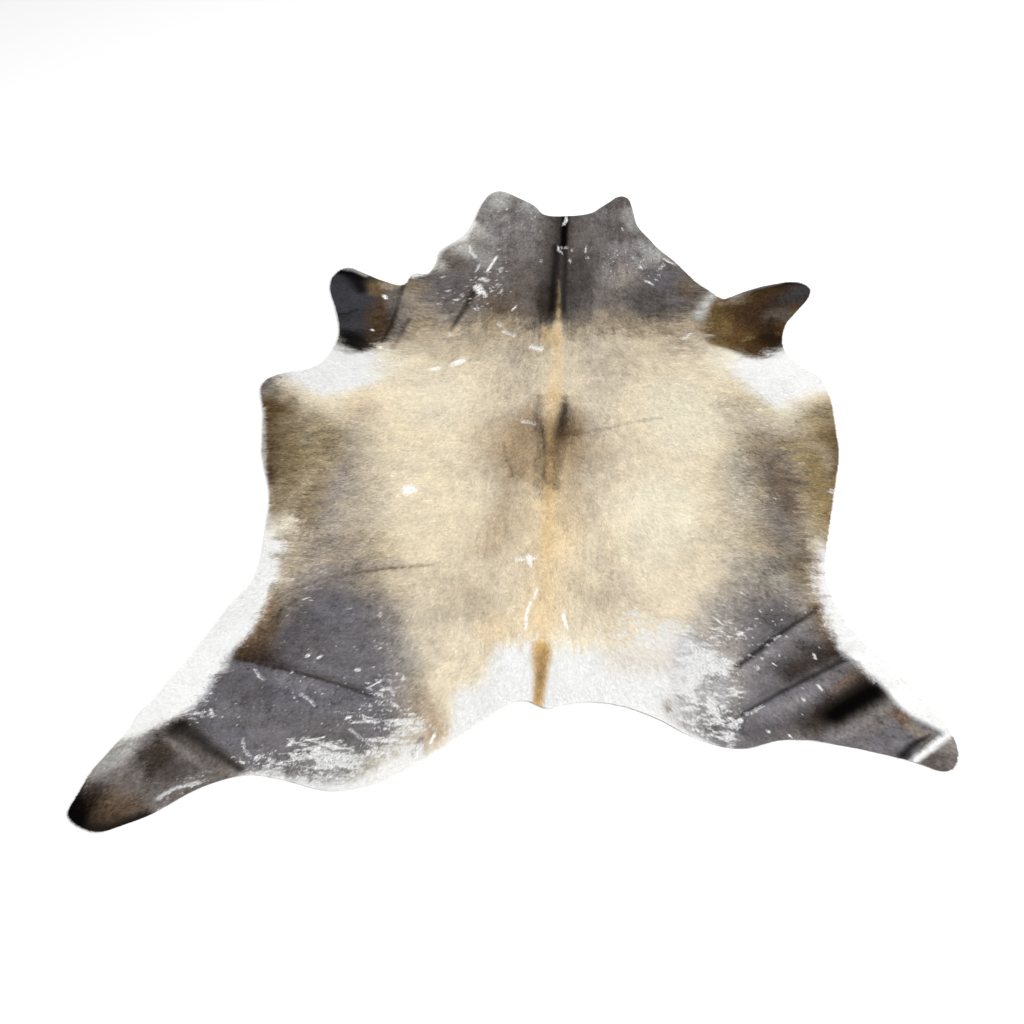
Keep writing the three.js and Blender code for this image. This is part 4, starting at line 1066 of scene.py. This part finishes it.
def lock_colours(root, tip, heading, tuft, coat, tints, chance):
    """The colours of each lock's three points in linear light: two at the root and one at the tip."""
    count = len(root)
    share = heading[:, 1] ** 2
    strand = share * noise("upright strands", root) + (1 - share) * noise("level strands", root)
    warp, drift = stray_of_locks(root, heading, strand, coat.drift, chance)
    far = (warp + drift).astype(np.float32)
    near = (CRISP_WARP * warp + CRISP_DRIFT * drift).astype(np.float32)
    low, high = (coat_at(place + far, place + near, tints) for place in (root, tip))
    white = white_locks(root, drift, low, chance)

    grain = low[:, GRAIN_COLUMN]
    cloud = SMALL_CLOUD * noise("small clouds", root, CLOUD_DRIFT * drift)
    cloud = cloud + BROAD_CLOUD * noise("broad clouds", root) + STRAND_CLOUD * strand
    tone = 1 + grain * (chance.normal(0, LOCK_TONE, count) + TUFT_TONE * tuft + cloud)
    warmth = BROAD_WARMTH * noise("broad warmth", root) + SMALL_WARMTH * noise("small warmth", root)
    warmth = warmth * np.clip(WARM_GAIN * grain - WARM_START, 0, 1)
    cast = np.stack([1 + WARM_RED * warmth, np.ones(count), 1 - WARM_BLUE * warmth], axis=1)

    colours = np.stack([low[:, :3], low[:, :3], high[:, :3]], axis=1)
    colours *= np.clip(tone, *TONE_LIMITS)[:, None, None] * cast[:, None, :]
    # Painted shade darkens the two points at each lock's root.
    colours[:, :2] *= root_shade(grain, HAIR_DEPTH)[:, None, None]
    paleness = chance.uniform(*WHITE_SPREAD, (int(white.sum()), 1))
    colours[white] = (tints["white"] * paleness)[:, None, :]
    scar = np.column_stack([low[:, SCAR], low[:, SCAR], high[:, SCAR]])
    scar = smooth((scar - SCAR_START) / SCAR_SPAN)[:, :, None]
    return colours + scar * (tints["fleck"] - colours)


def linear_tints(settings):
    """The coat's tints in linear light, by name."""
    found = {}
    for name in CoatTints.__annotations__:
        value = np.array(getattr(settings, name), np.float64)
        found[name] = np.where(value < 0.04045, value / 12.92, ((value + 0.055) / 1.055) ** 2.4)
    return found


def hair_lay(points):
    """The unit heading of the hair at each point."""
    spots = np.float32([(x, y) for _, x, y, _ in HAIR_LAY])
    turns = np.radians([heading for *_, heading in HAIR_LAY])
    gaps = ((points[:, None, :] - spots[None]) ** 2).sum(axis=2)
    weights = np.exp(-gaps / (2 * LAY_REACH**2)) + TINY
    lay = np.stack([weights @ np.cos(turns), weights @ np.sin(turns)], axis=1)
    return lay / np.linalg.norm(lay, axis=1, keepdims=True)


def short_hair(points):
    """How far the hair at each point is like that of the legs, from 0 to 1."""
    found = np.zeros(len(points))
    for _, at, reach in SHORT_HAIR:
        off = (points - np.float32(at)) / np.float32(reach)
        found = np.maximum(found, smooth(SHORT_HAIR_END - SHORT_HAIR_FALL * np.linalg.norm(off, axis=1)))
    return found


def fold_lift(points, fold):
    """How far one fold or crease lifts the skin at each point."""
    _, start, end, height, steep, gentle = fold
    run = np.float64(end) - start
    length = np.linalg.norm(run)
    off = points - np.float64(start)
    along = off @ run / length**2
    across = (off[:, 1] * run[0] - off[:, 0] * run[1]) / length
    reach = np.where(across > 0, steep, gentle)
    bell = np.where(np.abs(across) < reach, 0.5 * (1 + np.cos(np.pi * across / reach)), 0.0)
    arch = np.where((along > 0) & (along < 1), np.sin(np.pi * np.clip(along, 0, 1)), 0.0)
    return height * arch**FOLD_END_FADE * bell


def skin_lift(points, rim, settings):
    """The height of the skin's underside above the floor."""
    lift = np.zeros(len(points))
    for fold in FOLDS:
        lift = np.maximum(lift, fold_lift(points, fold))
    for crease in CREASES:
        lift += fold_lift(points, crease)
    loose = smooth(1 - rim / LOOSE_REACH)
    wave = noise("broad wave", points) + SMALL_WAVE * noise("small wave", points)
    lift += settings.waves * (HELD_WAVE + loose) * (MEAN_WAVE + wave)
    curl = np.clip(MEAN_CURL + noise("edge curl", points), 0, 1)
    lift += settings.edge_lift * curl * smooth(1 - rim / CURL_REACH)
    return np.maximum(lift, 0.0)


def solid_outline(mesh):
    """The rim of the solid's upper face as one closed loop of points."""
    mesh.calc_loop_triangles()
    places = np.array([vertex.co for vertex in mesh.vertices])
    places, index = np.unique(np.round(places, 5), axis=0, return_inverse=True)
    sides = index.reshape(-1)[np.array([t.vertices for t in mesh.loop_triangles])]
    a, b, c = (places[sides[:, corner]] for corner in range(3))
    normal = np.cross(b - a, c - a)
    upper = sides[normal[:, 2] > UPWARD * np.linalg.norm(normal, axis=1)]
    edges = {(int(a), int(b)) for side in upper for a, b in zip(side, np.roll(side, -1))}
    follow = {a: b for a, b in edges if (b, a) not in edges}
    chains = []
    starts = sorted(set(follow) - set(follow.values())) + sorted(follow)
    for spot in starts:
        chain = [spot]
        while chain[-1] in follow:
            chain.append(follow.pop(chain[-1]))
        if len(chain) > 1:
            chains.append(places[chain][:, :2])
    loop = chains.pop(int(np.argmax([len(chain) for chain in chains])))
    while chains:
        gaps = [np.linalg.norm(chain[0] - loop[-1]) for chain in chains]
        nearest = int(np.argmin(gaps))
        following = chains.pop(nearest)
        if gaps[nearest] < RIM_GAP:
            loop = np.vstack([loop, following])
    return loop


def rounded(loop, parts):
    """A closed loop with smooth curves between its points."""
    before, after, beyond = (np.roll(loop, places, axis=0) for places in (1, -1, -2))
    rows = []
    for t in np.arange(parts) / parts:
        rows.append(0.5 * (
            2 * loop + (after - before) * t + (2 * before - 5 * loop + 4 * after - beyond) * t**2
            + (3 * loop - before - 3 * after + beyond) * t**3))
    return np.stack(rows, axis=1).reshape(-1, 2)


def even_loop(loop, spacing):
    """A closed loop with its points at an even spacing."""
    closed = np.vstack([loop, loop[:1]])
    walked = np.concatenate([[0.0], np.cumsum(np.linalg.norm(np.diff(closed, axis=0), axis=1))])
    places = np.linspace(0, walked[-1], int(walked[-1] / spacing), endpoint=False)
    return np.stack([np.interp(places, walked, closed[:, axis]) for axis in (0, 1)], axis=1)


def cut_edge(settings):
    """The hide's edge: the solid's outline, rounded and cut a little unevenly."""
    outline = even_loop(solid_outline(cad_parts["hide"].data), OUTLINE_STEP)
    edge = even_loop(rounded(outline, CURVE_PARTS), settings.mesh_size * EDGE_STEP)
    ahead = np.roll(edge, -1, axis=0) - np.roll(edge, 1, axis=0)
    outward = np.stack([ahead[:, 1], -ahead[:, 0]], axis=1) / np.linalg.norm(ahead, axis=1, keepdims=True)
    return edge - outward * (settings.cut * (MEAN_CUT + noise("cut", edge)))[:, None]


def distances_from(edge, points):
    """How far each point is from the nearest point of the edge."""
    tree = KDTree(len(edge))
    for index, (x, y) in enumerate(edge):
        tree.insert((x, y, 0), index)
    tree.balance()
    return np.array([tree.find((x, y, 0))[2] for x, y in points])


def plan_of_hide(settings):
    """The hide in plan: its points, triangles, outline's indices and each point's distance from the rim."""
    edge = cut_edge(settings)
    step = settings.mesh_size
    low, high = edge.min(axis=0), edge.max(axis=0)
    columns = np.arange(low[0], high[0], step)
    rows = np.arange(low[1], high[1], step * math.sqrt(3) / 2)
    grid = np.array([(x + step / 2 * (row % 2), y) for row, y in enumerate(rows) for x in columns])
    grid = grid[within(grid, edge)]
    grid = grid[distances_from(edge, grid) > GRID_MARGIN * step]
    spots = [Vector(spot) for spot in np.vstack([edge, grid])]
    made = delaunay_2d_cdt(spots, [], [list(range(len(edge)))], INSIDE_ONLY, TINY)
    points = np.array([spot[:] for spot in made[0]])
    triangles = np.array(made[2])
    place_of = {source: index for index, sources in enumerate(made[3]) for source in sources}
    border = np.array([place_of[index] for index in range(len(edge))])
    return points, triangles, border, distances_from(edge, points)


def new_piece(name, places, triangles):
    """A mesh object from its points and triangles."""
    mesh = bpy.data.meshes.new(name)
    mesh.vertices.add(len(places))
    mesh.vertices.foreach_set("co", np.ascontiguousarray(places, np.float32).ravel())
    mesh.loops.add(3 * len(triangles))
    mesh.loops.foreach_set("vertex_index", np.ascontiguousarray(triangles, np.int32).ravel())
    mesh.polygons.add(len(triangles))
    mesh.polygons.foreach_set("loop_start", np.arange(0, 3 * len(triangles), 3, dtype=np.int32))
    mesh.update(calc_edges=True)
    piece = bpy.data.objects.new(name, mesh)
    bpy.context.collection.objects.link(piece)
    return piece


def dye(piece, colours):
    """Gives each point of a piece its own colour, in linear light."""
    layer = piece.data.color_attributes.new("Coat", "FLOAT_COLOR", "POINT")
    rgba = np.ones((len(colours), 4), np.float32)
    rgba[:, :3] = np.clip(colours, 0, 1)
    layer.data.foreach_set("color", rgba.ravel())


def lay_flat_map(piece):
    """A flat map over the piece, seen from above, for its colours."""
    places = np.empty(3 * len(piece.data.vertices), np.float32)
    piece.data.vertices.foreach_get("co", places)
    places = places.reshape(-1, 3)[:, :2]
    least, most = places.min(axis=0), places.max(axis=0)
    low, high = np.float32(MAP_SPAN)
    flat = (places - least) / (most - least) * (high - low) + low
    corner = np.empty(len(piece.data.loops), np.int32)
    piece.data.loops.foreach_get("vertex_index", corner)
    layer = piece.data.uv_layers.new(name="OFBake")
    layer.uv.foreach_set("vector", flat[corner].ravel())


def plain_material(name, roughness, gloss):
    """A new material with an even surface, and its shader."""
    material = bpy.data.materials.new(name)
    material.use_nodes = True
    shader = material.node_tree.nodes["Principled BSDF"]
    shader.inputs["Roughness"].default_value = roughness
    shader.inputs["Specular IOR Level"].default_value = gloss
    return material, shader


def mottle(tree, scale, detail, dark, light):
    """Noise between a dark and a light colour, as the output of a node."""
    place = tree.nodes.new("ShaderNodeTexCoord")
    speckles = tree.nodes.new("ShaderNodeTexNoise")
    speckles.inputs["Scale"].default_value = scale
    speckles.inputs["Detail"].default_value = detail
    ramp = tree.nodes.new("ShaderNodeValToRGB")
    for stop, position, colour in zip(ramp.color_ramp.elements, MOTTLE_STOPS, (dark, light)):
        stop.position = position
        stop.color = (*colour, 1)
    tree.links.new(place.outputs["Object"], speckles.inputs["Vector"])
    tree.links.new(speckles.outputs["Fac"], ramp.inputs["Fac"])
    return ramp.outputs["Color"]


def coat_material(name, roughness, contrast):
    """Dyed fur: the dye of each point, broken up by fine noise."""
    material, shader = plain_material(name, roughness, FUR_GLOSS)
    tree = material.node_tree
    dyed = tree.nodes.new("ShaderNodeVertexColor")
    dyed.layer_name = "Coat"
    mix = tree.nodes.new("ShaderNodeMix")
    mix.data_type = "RGBA"
    mix.blend_type = "MULTIPLY"
    mix.inputs["Factor"].default_value = 1
    dark = (1 - contrast, 1 - contrast, 1 - contrast)
    mottled = mottle(tree, scale=140, detail=3, dark=dark, light=(1, 1, 1))
    tree.links.new(dyed.outputs["Color"], mix.inputs["A"])
    tree.links.new(mottled, mix.inputs["B"])
    tree.links.new(mix.outputs["Result"], shader.inputs["Base Color"])
    return material


def suede_material(suede):
    """The flesh side of the skin."""
    material, shader = plain_material("suede", roughness=0.9, gloss=0.15)
    tree = material.node_tree
    mottled = mottle(tree, scale=22, detail=6, dark=suede * SUEDE_SHADE, light=suede)
    tree.links.new(mottled, shader.inputs["Base Color"])
    return material


def grow_locks(hide, coat, hairs, chance):
    """The three points of each lock, its root in plan, its heading and the tone of its tuft."""
    points, triangles, _, rim = plan_of_hide(hide)
    skin = np.column_stack([points, skin_lift(points, rim, hide) + hide.skin])
    a, b, c = (skin[triangles[:, corner]] for corner in range(3))
    normal = np.cross(b - a, c - a)
    normal[normal[:, 2] < 0] *= -1
    size = np.linalg.norm(normal, axis=1)
    normal /= size[:, None]

    legs = short_hair(((a + b + c) / 3)[:, :2])
    share = np.cumsum(size * (1 + LEG_DENSITY * legs))
    pick = np.searchsorted(share / share[-1], chance.rand(hairs)).clip(0, len(size) - 1)
    u, v = chance.rand(2, hairs)
    over = u + v > 1
    u[over], v[over] = 1 - u[over], 1 - v[over]
    mix = np.column_stack([1 - u - v, u, v])
    chosen = triangles[pick]
    root = (skin[chosen] * mix[:, :, None]).sum(axis=1)
    room = (rim[chosen] * mix).sum(axis=1)
    lay = (hair_lay(points.astype(np.float32))[chosen] * mix[:, :, None]).sum(axis=1)
    plan = root[:, :2].astype(np.float32)

    tuft = chance.normal(0, 1, (len(triangles), 2))[pick]
    swirl = SWIRL * noise("swirl", plan) + TUFT_SWIRL * tuft[:, 0] + coat.stray * chance.normal(0, 1, hairs)
    turn = np.arctan2(lay[:, 1], lay[:, 0]) + swirl
    heading = np.column_stack([np.cos(turn), np.sin(turn)])
    up = normal[pick]
    reach = np.column_stack([heading, -(heading * up[:, :2]).sum(axis=1) / up[:, 2]])
    reach /= np.linalg.norm(reach, axis=1, keepdims=True)
    lean = coat.lean * chance.uniform(*LEAN_SPREAD, hairs)
    length = coat.length * chance.uniform(*LENGTH_SPREAD, hairs) * (1 - LEG_SHORTENING * legs[pick])
    length = np.minimum(length, EDGE_LENGTH + EDGE_ROOM * room)
    roll = chance.normal(0, ROLL, hairs)
    half = 0.5 * coat.width * chance.uniform(*WIDTH_SPREAD, hairs)
    breadth = np.cross(up, reach) * (half * np.cos(roll))[:, None] + up * (half * np.sin(roll))[:, None]
    tip = root + (reach * np.cos(lean)[:, None] + up * np.sin(lean)[:, None]) * length[:, None]
    lock = np.stack([root - breadth, root + breadth, tip], axis=1)
    lock[:, :, 2] = np.maximum(lock[:, :, 2], FLOOR_CLEARANCE)
    return lock, plan, heading, tuft[:, 1]


class HIDE_OT_lay_skin(bpy.types.Operator):
    """Lays the tanned skin as one thin sheet over the solid's outline and folds"""
    bl_idname = "hide.lay_skin"
    bl_label = "Lay Skin"

    def execute(self, context):
        settings = context.scene.hide_settings
        tints = linear_tints(context.scene.coat_tints)
        points, triangles, border, rim = plan_of_hide(settings)
        lift = skin_lift(points, rim, settings)
        count = len(points)
        upper = np.column_stack([points, lift + settings.skin])
        lower = np.column_stack([points, lift])
        ahead = np.roll(border, -1)
        wall = np.vstack([
            np.column_stack([border, border + count, ahead]),
            np.column_stack([ahead, border + count, ahead + count])])
        a, b, c = (points[triangles[:, corner]] for corner in range(3))
        flip = (b[:, 0] - a[:, 0]) * (c[:, 1] - a[:, 1]) - (b[:, 1] - a[:, 1]) * (c[:, 0] - a[:, 0]) < 0
        triangles[flip] = triangles[flip][:, ::-1]
        walk = points[border]
        turn = np.sum(walk[:, 0] * np.roll(walk[:, 1], -1) - np.roll(walk[:, 0], -1) * walk[:, 1])
        if turn < 0:
            wall = wall[:, ::-1]
        faces = np.vstack([triangles, triangles[:, ::-1] + count, wall])
        skin = new_piece("skin", np.vstack([upper, lower]), faces)

        crisp = points.astype(np.float32)
        look = coat_at(crisp, crisp, tints)
        # The skin under the hair takes the coat's colours, darkened by painted shade.
        ground = look[:, :3] * root_shade(look[:, GRAIN_COLUMN], GROUND_DEPTH)[:, None]
        dye(skin, np.vstack([ground, ground]))
        skin.data.materials.append(coat_material("fur ground", roughness=0.85, contrast=0.15))
        skin.data.materials.append(suede_material(tints["suede"]))
        side = np.zeros(len(faces), np.int32)
        side[len(triangles) : 2 * len(triangles)] = 1
        skin.data.polygons.foreach_set("material_index", side)
        skin.data.polygons.foreach_set("use_smooth", np.ones(len(faces), bool))
        skin.data.set_sharp_from_angle(angle=SHARP_ANGLE)
        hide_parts("hide")
        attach(skin, "root")
        return {"FINISHED"}


class HIDE_OT_grow_coat(bpy.types.Operator):
    """Grows the short flat hair on the skin, in four bands from the neck to the hind legs"""
    bl_idname = "hide.grow_coat"
    bl_label = "Grow Coat"

    def execute(self, context):
        coat = context.scene.coat_settings
        tints = linear_tints(context.scene.coat_tints)
        chance = np.random.RandomState(coat.seed)
        hairs = coat.hairs // 1
        lock, plan, heading, tuft = grow_locks(context.scene.hide_settings, coat, hairs, chance)
        tip = lock[:, 2, :2].astype(np.float32)
        colours = lock_colours(plan, tip, heading, tuft, coat, tints, chance)
        material = coat_material("fur", roughness=0.7, contrast=0.08)
        order = np.argsort(-plan[:, 1], kind="stable")
        for name, band in zip(COAT_PIECES, np.array_split(order, len(COAT_PIECES))):
            piece = new_piece(name, lock[band].reshape(-1, 3), np.arange(3 * len(band)).reshape(-1, 3))
            dye(piece, colours[band].reshape(-1, 3))
            lay_flat_map(piece)
            piece.data.materials.append(material)
            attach(piece, "root")
        return {"FINISHED"}


class HIDE_OT_set_studio(bpy.types.Operator):
    """Sets a plain pale floor, soft lights and the camera"""
    bl_idname = "hide.set_studio"
    bl_label = "Set Studio"

    def execute(self, context):
        scene = context.scene
        studio = scene.studio_settings
        scene.view_settings.view_transform = "Standard"
        corners = np.array([(-1, -1, 0), (1, -1, 0), (1, 1, 0), (-1, 1, 0)]) * FLOOR_REACH
        floor = new_piece("floor", corners, np.array([(0, 1, 2), (0, 2, 3)]))
        paint, shader = plain_material("studio floor", roughness=0.9, gloss=0.5)
        shader.inputs["Base Color"].default_value = (0.98, 0.98, 0.98, 1)
        floor.data.materials.append(paint)

        scene.world = bpy.data.worlds.new("studio")
        scene.world.use_nodes = True
        sky = scene.world.node_tree.nodes["Background"]
        sky.inputs["Color"].default_value = (1, 1, 1, 1)
        sky.inputs["Strength"].default_value = studio.sky
        for name, place, size in LIGHTS:
            light = bpy.data.lights.new(f"{name} light", "AREA")
            light.size = size
            light.energy = getattr(studio, name)
            lamp = bpy.data.objects.new(f"{name} light", light)
            lamp.location = place
            aim = Vector(LIGHT_TARGET) - Vector(place)
            lamp.rotation_euler = aim.to_track_quat("-Z", "Y").to_euler()
            context.collection.objects.link(lamp)

        camera = bpy.data.cameras.new("camera")
        camera.sensor_width = SENSOR_WIDTH
        camera.lens = studio.lens
        camera.dof.use_dof = False
        stand = bpy.data.objects.new("camera", camera)
        level = math.cos(studio.elevation)
        back = Vector((
            math.sin(studio.azimuth) * level, -math.cos(studio.azimuth) * level, math.sin(studio.elevation)))
        stand.location = Vector(studio.target) + back * studio.distance
        stand.rotation_euler = (-back).to_track_quat("-Z", "Y").to_euler()
        context.collection.objects.link(stand)
        scene.camera = stand
        return {"FINISHED"}


class HIDE_PT_panel(bpy.types.Panel):
    """Lists the steps of the rug and their settings"""
    bl_idname = "HIDE_PT_panel"
    bl_label = "Cowhide Rug"
    bl_space_type = "VIEW_3D"
    bl_region_type = "UI"
    bl_category = "Hide"

    def draw(self, context):
        layout = self.layout
        for step in OPERATORS:
            layout.operator(step.bl_idname)
        for group in SETTINGS:
            box = layout.box()
            settings = getattr(context.scene, group)
            for name in settings.bl_rna.properties.keys():
                if name not in ("rna_type", "name"):
                    box.prop(settings, name)


SETTINGS = {
    "hide_settings": HideSettings,
    "coat_settings": CoatSettings,
    "studio_settings": StudioSettings,
    "coat_tints": CoatTints,
}
OPERATORS = (HIDE_OT_lay_skin, HIDE_OT_grow_coat, HIDE_OT_set_studio)
CLASSES = (*SETTINGS.values(), *OPERATORS, HIDE_PT_panel)


def register():
    for cls in CLASSES:
        bpy.utils.register_class(cls)
    for name, group in SETTINGS.items():
        setattr(bpy.types.Scene, name, PointerProperty(type=group))


def unregister():
    for name in SETTINGS:
        delattr(bpy.types.Scene, name)
    for cls in reversed(CLASSES):
        bpy.utils.unregister_class(cls)


def main():
    register()
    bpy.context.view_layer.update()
    bpy.ops.hide.lay_skin()
    bpy.ops.hide.grow_coat()
    bpy.ops.hide.set_studio()


if __name__ == "__main__":
    main()
